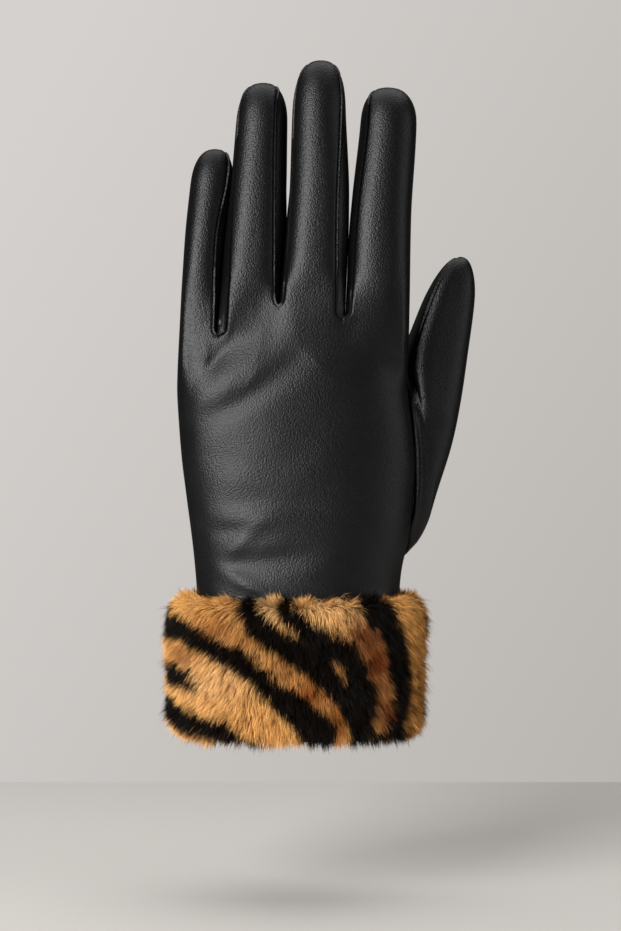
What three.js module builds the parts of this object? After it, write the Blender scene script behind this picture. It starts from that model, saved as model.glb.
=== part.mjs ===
// A left-hand dress glove of black vegan leather with a deep fur cuff, open and upright, as a hand fills it.
// Millimetres. The back of the hand faces -Y, the thumb is on +X, and +Z runs from the hem to the fingertips.
// The origin is the middle of the wrist opening, at the hem.
// The leather is one skin of sewn pieces: the trank wraps round the hand and is slit between the fingers,
// a forked fourchette fills each slit, and the thumb is set into a hole beside the palm.
import * as THREE from "three";

const LEATHER = 1.3; // thickness of the leather
const SEAM_GAP = 0.34; // between two pieces, where they are sewn
const SLIT_RADIUS = 2.4; // round end of the slit between two fingers
const KNUCKLE_FADE = 28; // below the slits, the fingers' scallops run out into the smooth palm over this height
const PALM_SQUARE = 2.4; // 2 is an ellipse, and more is squarer
const FINGER_SQUARE = { base: 3, tip: 2.2 };
const DOME_SQUARE = 2.5; // outline of a fingertip
const PALM_SEAM = 0.8; // the palm-side seams lie this far out, as a share of a finger's half width
const FOURCHETTE_END = 45; // degrees up the fingertip's dome, where the two seams beside a finger meet

// Sections of the hand between the hem and the fingers.
const PALM = [
  { z: 0, left: -33.5, right: 33.5, back: -20.5, palm: 20.5 },
  { z: 48, left: -34.3, right: 34.6, back: -20, palm: 20 },
  { z: 57, left: -35, right: 35.4, back: -19.6, palm: 20 },
  { z: 68, left: -36, right: 37.8, back: -19, palm: 20 },
  { z: 80, left: -37.7, right: 39.2, back: -18.3, palm: 19.5 },
  { z: 92, left: -39.3, right: 40, back: -17.8, palm: 18.5 },
  { z: 104, left: -40.2, right: 38.8, back: -17.3, palm: 17 },
  { z: 118, left: -40.8, right: 37.2, back: -16.8, palm: 15 },
  { z: 142, left: -40.1, right: 37.7, back: -14.5, palm: 11.5 },
];

// Sections of each finger: its centre (x, y), half width and half depth, and its back seams' places as shares of the
// half width. The dome of the tip starts at the third row, and the fourth row is the tip itself.
const FINGERS = [
  {
    name: "little",
    sections: [
      { z: 137.7, x: -33.9, half: 6.2, y: -0.2, deep: 9.2, seamLeft: -1, seamRight: 0.84 },
      { z: 168.3, x: -31.8, half: 6.6, y: 0.8, deep: 7.8, seamLeft: -1, seamRight: 0.61 },
      { z: 186.7, x: -29.6, half: 7.1, y: 3.2, deep: 6.8, seamLeft: -1, seamRight: 0.72 },
      { z: 199.4, x: -28.4, half: 6.9, y: 5, deep: 6.3, seamLeft: -1, seamRight: 0.8 },
    ],
  },
  {
    name: "ring",
    sections: [
      { z: 140.4, x: -16.6, half: 9.8, y: -2, deep: 10.5, seamLeft: -0.86, seamRight: 0.86 },
      { z: 176.8, x: -13.9, half: 9.7, y: -0.5, deep: 9.5, seamLeft: -0.87, seamRight: 0.58 },
      { z: 207.4, x: -12.4, half: 8.8, y: 2.7, deep: 8.2, seamLeft: -0.86, seamRight: 0.5 },
      { z: 222, x: -11.9, half: 8.3, y: 4.8, deep: 7.6, seamLeft: -0.9, seamRight: 0.6 },
    ],
  },
  {
    name: "middle",
    sections: [
      { z: 143.8, x: 4.8, half: 10.8, y: -2.7, deep: 11.3, seamLeft: -0.87, seamRight: 0.83 },
      { z: 181.9, x: 7.2, half: 10.2, y: -1.5, deep: 10, seamLeft: -0.92, seamRight: 0.62 },
      { z: 212.5, x: 7.2, half: 9.1, y: 1.8, deep: 8.7, seamLeft: -0.9, seamRight: 0.8 },
      { z: 229.5, x: 7.8, half: 8.4, y: 3.8, deep: 8, seamLeft: -0.9, seamRight: 0.85 },
    ],
  },
  {
    name: "index",
    sections: [
      { z: 140.4, x: 27.1, half: 10.6, y: -2, deep: 11, seamLeft: -0.88, seamRight: 1 },
      { z: 176.8, x: 28.2, half: 10.3, y: -0.8, deep: 9.8, seamLeft: -0.78, seamRight: 1 },
      { z: 207.4, x: 30.8, half: 9.6, y: 2, deep: 8.5, seamLeft: -0.73, seamRight: 1 },
      { z: 220.3, x: 30.9, half: 9, y: 4, deep: 8, seamLeft: -0.8, seamRight: 1 },
    ],
  },
];

// Height of each slit's end on the back and on the palm side, from the little finger's slit to the index finger's.
const SLITS = [
  { name: "fourchette_little_ring", back: 134.6, palm: 137 },
  { name: "fourchette_ring_middle", back: 144.6, palm: 145.5 },
  { name: "fourchette_middle_index", back: 140.4, palm: 142.5 },
];
const OUTER_HEIGHT = { little: 134, index: 138 }; // where the outer fingers begin at the hand's two edges

// The thumb hole is an oval on the hand's edge and palm: its centre and half sizes as an angle round the hand,
// counted from the back, and a height.
const THUMB_HOLE = { angle: 118, halfAngle: 35, z: 91, halfHeight: 30.5 };

// Sections of the thumb after the hole, which is station 0: its inner and outer edge, the middle's y, the half
// depth, and the angle in degrees that the depth turns from +Y towards -X. The last row is the tip.
const THUMB = [
  { station: 1, innerX: 34, innerZ: 122, outerX: 39.4, outerZ: 66, y: 10, deep: 13.5, turn: 38 },
  { station: 2, innerX: 34.4, innerZ: 123.2, outerX: 46.2, outerZ: 80, y: 11.5, deep: 13.2, turn: 28 },
  { station: 3, innerX: 34.9, innerZ: 124.6, outerX: 51.7, outerZ: 97, y: 12, deep: 12.4, turn: 20 },
  { station: 4, innerX: 35.8, innerZ: 127, outerX: 56, outerZ: 114, y: 12, deep: 11.4, turn: 14 },
  { station: 5, innerX: 37.8, innerZ: 133.5, outerX: 59.2, outerZ: 131, y: 12, deep: 10.2, turn: 10 },
  { station: 6, innerX: 42.2, innerZ: 145, outerX: 61.8, outerZ: 147, y: 12, deep: 9, turn: 8 },
  { station: 7, innerX: 49.5, innerZ: 163.5, outerX: 63, outerZ: 165, y: 12, deep: 8, turn: 8 },
];
const THUMB_SQUARE = 2.15;

// Folds in the back of the glove: the middle, the length and the slope in degrees of the line along which each
// runs, its half width, and its height, which is negative for a valley.
const FOLDS = [
  { x: -27, z: 129, length: 12, slope: 52, width: 2.4, height: -0.8 },
  { x: -22.5, z: 126, length: 27, slope: 38, width: 4.2, height: 1.1 },
  { x: -20.5, z: 118, length: 32, slope: 31, width: 4.4, height: -1.3 },
  { x: -17.5, z: 141, length: 24, slope: 49, width: 3.6, height: -1 },
  { x: -21, z: 70, length: 20, slope: -4, width: 3.2, height: -1 },
  { x: -22, z: 63, length: 15, slope: 38, width: 2.6, height: 0.8 },
  { x: -14.5, z: 60.5, length: 22, slope: 12, width: 3.2, height: -1.2 },
  { x: -19, z: 52, length: 20, slope: -27, width: 3, height: 0.9 },
];

// The fur cuff: a padded band round the wrist, deep in locks.
const CUFF = { bottom: 0.6, top: 49.5, left: 11.6, right: 9.8, depth: 10.5, corner: 7, clearance: 0.35 };
const LOCK = { rows: 6, rise: 2.2, droop: 2.9, edge: 1.6, uneven: 0.4 };

// Grid counts.
const STRIP_COLUMNS = [6, 6, 6, 7, 7, 6, 6, 6];
const WRIST_ROWS = 2; // under the cuff
const PALM_ROWS = 14; // from the cuff to the slits
const HOLE = { firstColumn: 24, lastColumn: 32, firstRow: 4, lastRow: 13 };
const SLIT_STEPS = 3;
const SHAFT_ROWS = 5;
const DOME_ROWS = 4;
const PANEL_COLUMNS = 3; // across a fourchette
const THUMB_ROWS = 9; // from the hole to the dome of the thumb's tip

const DEG = Math.PI / 180;
const lerp = THREE.MathUtils.lerp;
const smooth = (value) => THREE.MathUtils.smoothstep(value, 0, 1);
const bow = (value, power) => Math.sign(value) * Math.abs(value) ** power;

// All columns of a table of sections, read at one place along it by a smooth curve through the rows.
function sectionAt(rows, key, place) {
  let i = rows.findIndex((row) => row[key] > place) - 1;
  if (i === -2) i = rows.length - 2;
  i = Math.max(i, 0);
  const slope = (k, column) => {
    const a = rows[Math.max(k - 1, 0)];
    const b = rows[Math.min(k + 1, rows.length - 1)];
    return (b[column] - a[column]) / (b[key] - a[key]);
  };
  const [a, b] = [rows[i], rows[i + 1]];
  const span = b[key] - a[key];
  const t = (place - a[key]) / span;
  const read = (column) => {
    if (t < 0) return a[column] + slope(i, column) * (place - a[key]);
    if (t > 1) return b[column] + slope(i + 1, column) * (place - b[key]);
    return (
      a[column] * (1 + 2 * t) * (1 - t) ** 2 +
      slope(i, column) * span * t * (1 - t) ** 2 +
      b[column] * t * t * (3 - 2 * t) -
      slope(i + 1, column) * span * t * t * (1 - t)
    );
  };
  return Object.fromEntries(Object.keys(a).filter((c) => c !== key).map((c) => [c, read(c)]));
}

// A point of the palm's skin, at an angle round the hand that runs from the back over the thumb's side.
function palmPoint(angle, z) {
  const s = sectionAt(PALM, "z", z);
  return new THREE.Vector3(
    (s.left + s.right) / 2 + ((s.right - s.left) / 2) * bow(Math.sin(angle), 2 / PALM_SQUARE),
    (s.back + s.palm) / 2 - ((s.palm - s.back) / 2) * bow(Math.cos(angle), 2 / PALM_SQUARE),
    z,
  );
}

// The angle round the palm of a point with this x at the slits' height.
function palmAngle(x, onBack) {
  const s = sectionAt(PALM, "z", PALM.at(-1).z);
  const share = THREE.MathUtils.clamp((x - (s.left + s.right) / 2) / ((s.right - s.left) / 2), -1, 1);
  const angle = Math.asin(bow(share, PALM_SQUARE / 2));
  return onBack ? angle : Math.PI - angle;
}

const domeStart = (finger) => finger.sections[2].z;
const tipHeight = (finger) => finger.sections[3].z;

function fingerSquare(finger, z) {
  const base = finger.sections[0].z;
  return lerp(FINGER_SQUARE.base, FINGER_SQUARE.tip, smooth((z - base) / (domeStart(finger) - base)));
}

// A point of a finger's skin. shrink is 1 along the shaft and falls to 0 at the tip.
function fingerPoint(finger, angle, z, shrink = 1) {
  const s = sectionAt(finger.sections, "z", z);
  const power = 2 / fingerSquare(finger, z);
  return new THREE.Vector3(
    s.x + s.half * shrink * bow(Math.sin(angle), power),
    s.y - s.deep * shrink * bow(Math.cos(angle), power),
    z,
  );
}

// The angle of a finger's seam on one side (-1 left, 1 right) of one face. Near the tip it runs out to the side.
function seamAngle(finger, side, onBack, z) {
  const s = sectionAt(finger.sections, "z", z);
  const share = onBack ? Math.abs(side < 0 ? s.seamLeft : s.seamRight) : PALM_SEAM;
  const fromCrown = Math.asin(Math.min(share, 1) ** (fingerSquare(finger, z) / 2));
  const dome = tipHeight(finger) - domeStart(finger);
  const end = domeStart(finger) + dome * Math.sin(FOURCHETTE_END * DEG) ** (2 / DOME_SQUARE);
  const fromBack = onBack ? fromCrown : Math.PI - fromCrown;
  return side * lerp(fromBack, Math.PI / 2, smooth((z - domeStart(finger)) / (end - domeStart(finger))));
}

// A point of one side of the slit between two neighbouring fingers, at a share of the way from the back to the
// palm. open is 0 at the slit's end, where its two sides meet, and 1 above its round end.
function slitPoint(slit, side, share, z, shrink, open) {
  const wall = (fingerIndex, sideOfFinger) => {
    const finger = FINGERS[fingerIndex];
    const back = seamAngle(finger, sideOfFinger, true, z);
    const palm = seamAngle(finger, sideOfFinger, false, z);
    return fingerPoint(finger, lerp(back, palm, share), z, shrink);
  };
  const [left, right] = [wall(slit, 1), wall(slit + 1, -1)];
  const middle = left.clone().add(right).multiplyScalar(0.5);
  return middle.lerp(side < 0 ? left : right, open);
}

// Rows up a finger: height above the slit's end, or up the dome, with how far the slit is open.
function fingerRow(finger, row, start) {
  const dome = tipHeight(finger) - domeStart(finger);
  if (row <= SLIT_STEPS) {
    const turn = (row / SLIT_STEPS) * 90 * DEG;
    return { z: start + SLIT_RADIUS * (1 - Math.cos(turn)), open: Math.sin(turn), shrink: 1 };
  }
  if (row <= SLIT_STEPS + SHAFT_ROWS) {
    const share = (row - SLIT_STEPS) / SHAFT_ROWS;
    return { z: lerp(start + SLIT_RADIUS, domeStart(finger), share), open: 1, shrink: 1 };
  }
  const rise = ((row - SLIT_STEPS - SHAFT_ROWS) / DOME_ROWS) * 90 * DEG;
  return {
    z: domeStart(finger) + dome * Math.sin(rise) ** (2 / DOME_SQUARE),
    open: 1,
    shrink: Math.max(Math.cos(rise), 0) ** (2 / DOME_SQUARE),
  };
}
const FINGER_ROWS = SLIT_STEPS + SHAFT_ROWS + DOME_ROWS;
const FOURCHETTE_ROWS = SLIT_STEPS + SHAFT_ROWS + Math.round((DOME_ROWS * FOURCHETTE_END) / 90);

// The trank's eight strips, in the order in which they go round the hand: up the back from the little finger to
// the index finger, and back over the palm. Each starts and ends at a seam or at the hand's edge.
const STRIPS = [0, 1, 2, 3, 3, 2, 1, 0].map((fingerIndex, i) => {
  const onBack = i < 4;
  const finger = FINGERS[fingerIndex];
  const edge = (direction) => {
    const side = onBack ? direction : -direction;
    const slit = side < 0 ? fingerIndex - 1 : fingerIndex;
    const outer = slit < 0 || slit > 2;
    return {
      slit,
      side,
      outer,
      start: outer ? OUTER_HEIGHT[finger.name] : SLITS[slit][onBack ? "back" : "palm"],
    };
  };
  return { finger, onBack, columns: STRIP_COLUMNS[i], from: edge(-1), to: edge(1) };
});

// The angle round the finger of one edge of a strip. The little finger's palm strip ends at -90 degrees from the
// other way round, which is 270.
function edgeAngle(strip, edge, z) {
  if (edge.outer) return strip.onBack || edge.side > 0 ? (edge.side * Math.PI) / 2 : 1.5 * Math.PI;
  const angle = seamAngle(strip.finger, edge.side, strip.onBack, z);
  return strip.onBack || angle > 0 ? angle : angle + 2 * Math.PI;
}

// A point of a strip at a share of its width, with the slits beside it closed, open or between.
function stripPoint(strip, share, z, shrink, open) {
  const [a, b] = [edgeAngle(strip, strip.from, z), edgeAngle(strip, strip.to, z)];
  const point = fingerPoint(strip.finger, lerp(a, b, share), z, shrink);
  for (const [edge, angle, away] of [[strip.from, a, share], [strip.to, b, 1 - share]]) {
    const pull = Math.max(1 - 2 * away, 0) ** 2;
    if (edge.outer || !pull) continue;
    const own = fingerPoint(strip.finger, angle, z, shrink);
    const drawn = slitPoint(edge.slit, -edge.side, strip.onBack ? 0 : 1, z, shrink, open);
    point.addScaledVector(drawn.sub(own), pull);
  }
  return point;
}

// How far a fold lifts the back of the hand at a point.
function foldHeight(x, z) {
  return FOLDS.reduce((sum, fold) => {
    const [c, s] = [Math.cos(fold.slope * DEG), Math.sin(fold.slope * DEG)];
    const along = (x - fold.x) * c + (z - fold.z) * s;
    const across = (z - fold.z) * c - (x - fold.x) * s;
    return sum + fold.height * Math.exp(-((across / fold.width) ** 2) - (2 * along / fold.length) ** 4);
  }, 0);
}

// A point of the trank below the slits: the fingers' scallops fade into the palm.
function handPoint(strip, share, angle, z) {
  const start = lerp(strip.from.start, strip.to.start, share);
  const palm = palmPoint(angle, z);
  const weight = smooth((start - z) / KNUCKLE_FADE);
  const point = stripPoint(strip, share, z, 1, 0).lerp(palm, weight);
  if (strip.onBack) point.y -= foldHeight(point.x, z) * smooth((start - z) / 5) * smooth((z - CUFF.top) / 5);
  return point;
}

// Where the trank's columns run: the strip, the share of its width, and the angle round the palm.
const COLUMNS = STRIPS.flatMap((strip) =>
  Array.from({ length: strip.columns }, (_, i) => {
    const share = i / strip.columns;
    const start = lerp(strip.from.start, strip.to.start, share);
    const angle = palmAngle(stripPoint(strip, share, start, 1, 0).x, strip.onBack);
    return { strip, share, start, angle };
  }),
);
const columnAt = (j) => {
  const column = COLUMNS[j % COLUMNS.length];
  return j < COLUMNS.length ? column : { ...column, angle: column.angle + 2 * Math.PI };
};

// Height of a row of the palm at a column: level at the wrist, and bent to the slits' ends at the top.
const HAND_ROWS = WRIST_ROWS + PALM_ROWS;
const SLIT_LEVEL = 140;
function rowHeight(i, start) {
  if (i <= WRIST_ROWS) return (i / WRIST_ROWS) * PALM[1].z;
  const share = (i - WRIST_ROWS) / PALM_ROWS;
  return lerp(PALM[1].z, SLIT_LEVEL, share) + (start - SLIT_LEVEL) * smooth(share);
}

// The grid's square hole for the thumb is drawn out into an oval, which dies away over as much again round it.
function holePlace(j, i) {
  const halfColumns = (HOLE.lastColumn - HOLE.firstColumn) / 2;
  const halfRows = (HOLE.lastRow - HOLE.firstRow) / 2;
  const p = (j - HOLE.firstColumn) / halfColumns - 1;
  const q = (i - HOLE.firstRow) / halfRows - 1;
  const ring = Math.max(Math.abs(p), Math.abs(q));
  const round = ring / (Math.hypot(p, q) || 1);
  return { ring, across: p * round, up: q * round };
}

function trankPoint(j, i) {
  const { strip, share, start, angle } = columnAt(j);
  const z = rowHeight(i, start);
  const place = holePlace(j, i);
  if (place.ring >= 2) return handPoint(strip, share, angle, z);
  const room = Math.min((i - WRIST_ROWS) / (HOLE.firstRow - WRIST_ROWS), (HAND_ROWS - i) / (HAND_ROWS - HOLE.lastRow));
  const weight = smooth(Math.min(2 - place.ring, room));
  const holeAngle = (THUMB_HOLE.angle + THUMB_HOLE.halfAngle * place.across) * DEG;
  const holeZ = THUMB_HOLE.z + THUMB_HOLE.halfHeight * place.up;
  return handPoint(strip, share, lerp(angle, holeAngle, weight), lerp(z, holeZ, weight));
}

// The columns round the thumb hole, each with its grid place and its turn round the thumb, from the hole's lower
// end over the palm side.
const HOLE_EDGE = (() => {
  const places = [];
  const { firstColumn: j0, lastColumn: j1, firstRow: i0, lastRow: i1 } = HOLE;
  for (let j = j0; j < j1; j++) places.push([j, i0]);
  for (let i = i0; i < i1; i++) places.push([j1, i]);
  for (let j = j1; j > j0; j--) places.push([j, i1]);
  for (let i = i1; i > i0; i--) places.push([j0, i]);
  return places.map(([j, i], k) => {
    const { across, up } = holePlace(j, i);
    return { j, i, turn: Math.atan2(across, -up), even: (k / places.length) * 2 * Math.PI };
  });
})();
const HOLE_START = HOLE_EDGE[0].turn;

// A point of the thumb's skin at a station and a turn. It leaves the hole's edge and takes the tube's own shape.
function thumbTube(station, turn, shrink) {
  const s = sectionAt(THUMB, "station", station);
  const power = 2 / THUMB_SQUARE;
  const out = bow(Math.cos(turn), power) * shrink;
  const deep = bow(Math.sin(turn), power) * shrink * s.deep;
  return new THREE.Vector3(
    (s.innerX + s.outerX) / 2 + ((s.outerX - s.innerX) / 2) * out - deep * Math.sin(s.turn * DEG),
    s.y + deep * Math.cos(s.turn * DEG),
    (s.innerZ + s.outerZ) / 2 + ((s.outerZ - s.innerZ) / 2) * out,
  );
}
const THUMB_DOME = THUMB.at(-2).station;
const THUMB_TIP = THUMB.at(-1).station;

function thumbPoint(k, row) {
  const edge = HOLE_EDGE[k % HOLE_EDGE.length];
  const even = HOLE_START + edge.even;
  const turn = edge.turn < HOLE_START - 1e-6 ? edge.turn + 2 * Math.PI : edge.turn;
  let station = (row / THUMB_ROWS) * THUMB_DOME;
  let shrink = 1;
  if (row > THUMB_ROWS) {
    const rise = ((row - THUMB_ROWS) / DOME_ROWS) * 90 * DEG;
    station = lerp(THUMB_DOME, THUMB_TIP, Math.sin(rise) ** (2 / DOME_SQUARE));
    shrink = Math.max(Math.cos(rise), 0) ** (2 / DOME_SQUARE);
  }
  const tube = thumbTube(station, lerp(turn, even, smooth(station / 3)), shrink);
  return trankPoint(edge.j, edge.i).lerp(tube, smooth(station / 1.6));
}

// The skin is one sheet of welded points. Each piece is a list of triangles between them, with its own normals.
const skin = { points: [], keys: new Map(), uses: new Map() };
const newPiece = () => ({ triangles: [], normals: new Map() });

function weld(point) {
  const key = point.toArray().map((v) => Math.round(v * 500)).join(",");
  if (!skin.keys.has(key)) {
    skin.keys.set(key, skin.points.length);
    skin.points.push(point);
  }
  return skin.keys.get(key);
}

const edgeKey = (a, b) => (a < b ? a + "," + b : b + "," + a);

// Adds a grid to a piece, as triangles that face out where place(column, row) runs with out to the viewer.
function addGrid(piece, columns, rows, place, keep = () => true) {
  for (let i = 0; i < rows; i++) {
    for (let j = 0; j < columns; j++) {
      if (!keep(j, i)) continue;
      const corners = [[j, i], [j + 1, i], [j + 1, i + 1], [j, i + 1]].map(([c, r]) => weld(place(c, r)));
      for (const [a, b, c] of [[0, 1, 2], [0, 2, 3]]) {
        const triangle = [corners[a], corners[b], corners[c]];
        if (new Set(triangle).size === 3) addTriangle(piece, triangle);
      }
    }
  }
}

function addTriangle(piece, triangle) {
  piece.triangles.push(triangle);
  const [a, b, c] = triangle.map((v) => skin.points[v]);
  const normal = b.clone().sub(a).cross(c.clone().sub(a));
  triangle.forEach((v, k) => {
    piece.normals.set(v, (piece.normals.get(v) || new THREE.Vector3()).add(normal));
    const key = edgeKey(v, triangle[(k + 1) % 3]);
    skin.uses.set(key, (skin.uses.get(key) || 0) + 1);
  });
}

// The skin's normal at a point: midway between the pieces that meet there, which mitres their seam.
function skinNormal(v) {
  const sum = new THREE.Vector3();
  for (const piece of pieces.values()) {
    if (piece.normals.has(v)) sum.add(piece.normals.get(v).clone().normalize());
  }
  return sum.normalize();
}

// Gives a piece of the skin its thickness. A sewn edge is drawn back by half the seam's gap, and the wall's edge
// runs along the skin's own normal there, so that the two sides of a seam face each other. Each four-sided patch
// of that edge is split along the same diagonal on both sides of the seam.
function wallOf(piece) {
  const edges = new Map();
  for (const [a, b, c] of piece.triangles) {
    for (const [p, q, r] of [[a, b, c], [b, c, a], [c, a, b]]) {
      if (edges.has(edgeKey(p, q))) edges.delete(edgeKey(p, q));
      else edges.set(edgeKey(p, q), [p, q, r]);
    }
  }
  const inset = new Map();
  for (const [key, [p, q, r]] of edges) {
    if (skin.uses.get(key) === 1) continue;
    const run = skin.points[q].clone().sub(skin.points[p]).normalize();
    const inward = skin.points[r].clone().sub(skin.points[p]);
    inward.addScaledVector(run, -inward.dot(run)).normalize();
    for (const v of [p, q]) inset.set(v, (inset.get(v) || new THREE.Vector3()).add(inward));
  }
  const ids = new Map();
  const positions = [];
  const index = [];
  const vertex = (v, inner) => {
    const key = v + (inner ? "i" : "o");
    if (!ids.has(key)) {
      const point = skin.points[v].clone();
      if (inset.has(v)) point.addScaledVector(inset.get(v).clone().normalize(), SEAM_GAP / 2);
      if (inner) point.addScaledVector(skinNormal(v), -LEATHER);
      ids.set(key, positions.length / 3);
      positions.push(...point.toArray());
    }
    return ids.get(key);
  };
  for (const [a, b, c] of piece.triangles) {
    index.push(vertex(a), vertex(b), vertex(c));
    index.push(vertex(a, true), vertex(c, true), vertex(b, true));
  }
  for (const [p, q] of edges.values()) {
    const corners = [vertex(q), vertex(p), vertex(p, true), vertex(q, true)];
    const from = p < q ? 1 : 0;
    for (const [a, b, c] of [[from, 1 + from, 2 + from], [from, 2 + from, (3 + from) % 4]]) {
      index.push(corners[a], corners[b], corners[c]);
    }
  }
  return geometryOf(positions, index);
}

function geometryOf(positions, index) {
  const geometry = new THREE.BufferGeometry();
  geometry.setAttribute("position", new THREE.Float32BufferAttribute(positions, 3));
  geometry.setIndex(index);
  geometry.computeVertexNormals();
  return geometry;
}

// The trank: the hand's tube, less the thumb hole, and the eight strips that run up from it to the fingertips.
function cutTrank() {
  const piece = newPiece();
  const inHole = (j, i) =>
    j >= HOLE.firstColumn && j < HOLE.lastColumn && i >= HOLE.firstRow && i < HOLE.lastRow;
  addGrid(piece, COLUMNS.length, HAND_ROWS, (j, i) => trankPoint(j, i), (j, i) => !inHole(j, i));
  for (const strip of STRIPS) {
    addGrid(piece, strip.columns, FINGER_ROWS, (j, i) => {
      const share = j / strip.columns;
      const row = fingerRow(strip.finger, i, lerp(strip.from.start, strip.to.start, share));
      return stripPoint(strip, share, row.z, row.shrink, row.open);
    });
  }
  return piece;
}

// A fourchette: from the left finger's tip down its side, round the slit's end and up the right finger's side.
function cutFourchette(slit) {
  const piece = newPiece();
  for (const side of [-1, 1]) {
    const finger = FINGERS[side < 0 ? slit : slit + 1];
    addGrid(piece, PANEL_COLUMNS, FOURCHETTE_ROWS, (j, i) => {
      const share = side < 0 ? j / PANEL_COLUMNS : 1 - j / PANEL_COLUMNS;
      const row = fingerRow(finger, i, lerp(SLITS[slit].back, SLITS[slit].palm, share));
      return slitPoint(slit, side, share, row.z, row.shrink, row.open);
    });
  }
  return piece;
}

function cutThumb() {
  const piece = newPiece();
  addGrid(piece, HOLE_EDGE.length, THUMB_ROWS + DOME_ROWS, thumbPoint);
  return piece;
}

// The fur cuff. Round the wrist it has two columns for each column of the trank, and its section runs from the
// inner wall's foot out, up and back in. Locks stand on the outer face in staggered rows, their tips drooping.
function makeFurCuff() {
  const around = 2 * COLUMNS.length;
  const outerRows = 2 * LOCK.rows;
  const wrist = (k, z) => {
    const j = k / 2;
    const at = (column) => palmPoint(columnAt(column).angle, z);
    return at(Math.floor(j)).lerp(at(Math.ceil(j)), 0.5 * (k % 2));
  };
  const outward = (k, z) => {
    const run = wrist((k + 2) % around, z).sub(wrist((k + around - 2) % around, z));
    return new THREE.Vector3(run.y, -run.x, 0).normalize();
  };
  const uneven = (k, row) => 1 + LOCK.uneven * Math.sin(12.9898 * (k % around) + 78.233 * row);
  const depthAt = (direction) => {
    const side = direction.x < 0 ? CUFF.left : CUFF.right;
    return lerp(CUFF.depth, side, direction.x ** 2);
  };
  const point = (k, row) => {
    if (row === 0 || row === outerRows + 2) {
      const z = row === 0 ? CUFF.bottom + 1.5 : CUFF.top - 3;
      return wrist(k, z).addScaledVector(outward(k, z), CUFF.clearance);
    }
    const climb = (row - 1) / outerRows;
    const middle = lerp(CUFF.bottom, CUFF.top, climb);
    const edge = Math.min(middle - CUFF.bottom, CUFF.top - middle);
    const corner = Math.max(1 - edge / CUFF.corner, 0);
    const direction = outward(k, middle);
    const base = depthAt(direction) * (0.5 + 0.5 * Math.sqrt(1 - corner ** 2));
    const tip = row % 2 === 0 && (k + row / 2) % 2 === 0;
    const out = CUFF.clearance + base - 1 + (tip ? LOCK.rise * uneven(k, row) : 0);
    let z = middle;
    if (tip) z -= LOCK.droop * uneven(k + 7, row);
    else if (k % 2 === 0 && climb === 1) z += LOCK.edge * uneven(k, row);
    else if (k % 2 === 0 && climb === 0) z -= LOCK.edge * uneven(k, row);
    return wrist(k, middle).addScaledVector(direction, out).setZ(z);
  };
  const positions = [];
  const index = [];
  const rows = outerRows + 3;
  for (let row = 0; row < rows; row++) {
    for (let k = 0; k < around; k++) positions.push(...point(k, row).toArray());
  }
  for (let row = 0; row < rows; row++) {
    for (let k = 0; k < around; k++) {
      const [a, b] = [row * around + k, row * around + ((k + 1) % around)];
      const [d, c] = [((row + 1) % rows) * around + k, ((row + 1) % rows) * around + ((k + 1) % around)];
      index.push(a, b, c, a, c, d);
    }
  }
  return geometryOf(positions, index);
}

const leather = () => new THREE.MeshStandardMaterial({ color: 0x17171a, roughness: 0.42, metalness: 0 });
const fur = () => new THREE.MeshStandardMaterial({ color: 0xb98044, roughness: 0.95, metalness: 0 });

function addPiece(group, name, geometry, material) {
  const mesh = new THREE.Mesh(geometry, material);
  mesh.name = name;
  group.add(mesh);
}

const glove = new THREE.Group();
const pieces = new Map([["trank", cutTrank()], ["thumb", cutThumb()]]);
SLITS.forEach((slit, i) => pieces.set(slit.name, cutFourchette(i)));
for (const [name, piece] of pieces) addPiece(glove, name, wallOf(piece), leather());
addPiece(glove, "fur_cuff", makeFurCuff(), fur());

export default glove;
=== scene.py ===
"""A left-hand dress glove of black vegan leather with a deep tiger-print faux fur cuff, on a pale floor.

The leather is one skin of sewn pieces, worked out in millimetres from the same sections as the solids, then given
its seams, folds and thickness. The fur is a padded backing and about 150,000 flat, tapered hairs.
"""

import bpy
import numpy as np
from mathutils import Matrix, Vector


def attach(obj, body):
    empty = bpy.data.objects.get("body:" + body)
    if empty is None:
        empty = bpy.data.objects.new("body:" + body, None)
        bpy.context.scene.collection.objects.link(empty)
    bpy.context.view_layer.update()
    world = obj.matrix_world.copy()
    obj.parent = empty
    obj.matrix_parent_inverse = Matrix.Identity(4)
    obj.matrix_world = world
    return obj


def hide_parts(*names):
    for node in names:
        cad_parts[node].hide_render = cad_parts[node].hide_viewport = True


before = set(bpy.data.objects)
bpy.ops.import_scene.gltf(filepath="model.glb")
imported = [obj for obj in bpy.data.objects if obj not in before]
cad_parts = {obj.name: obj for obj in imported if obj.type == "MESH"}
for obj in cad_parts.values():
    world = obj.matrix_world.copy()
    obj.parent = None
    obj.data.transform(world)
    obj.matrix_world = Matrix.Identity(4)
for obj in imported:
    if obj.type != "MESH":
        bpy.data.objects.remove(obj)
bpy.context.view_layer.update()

MM = 0.001
DEG = np.pi / 180

# ---- sizes
# A fade is where a ramp starts and the span that it takes, which is negative where it falls.

LEATHER = 1.3  # thickness of the leather
SEAM_GAP = 0.3  # between two sewn pieces
SLIT_RADIUS = 2.4  # round end of the slit between two fingers
KNUCKLE_FADE = 24  # below the slits, the fingers' scallops run out into the palm over this height
START_FADE = 6  # and the palm sets in over this height
SPREAD_FADE = 34  # while the columns spread out evenly round the glove over this height
PALM_SQUARE = 2.4  # 2 is an ellipse, and more is squarer
PALM_SIDE = (0.72, 0.26)  # fade, in shares of the half width where the back turns into the side
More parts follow.
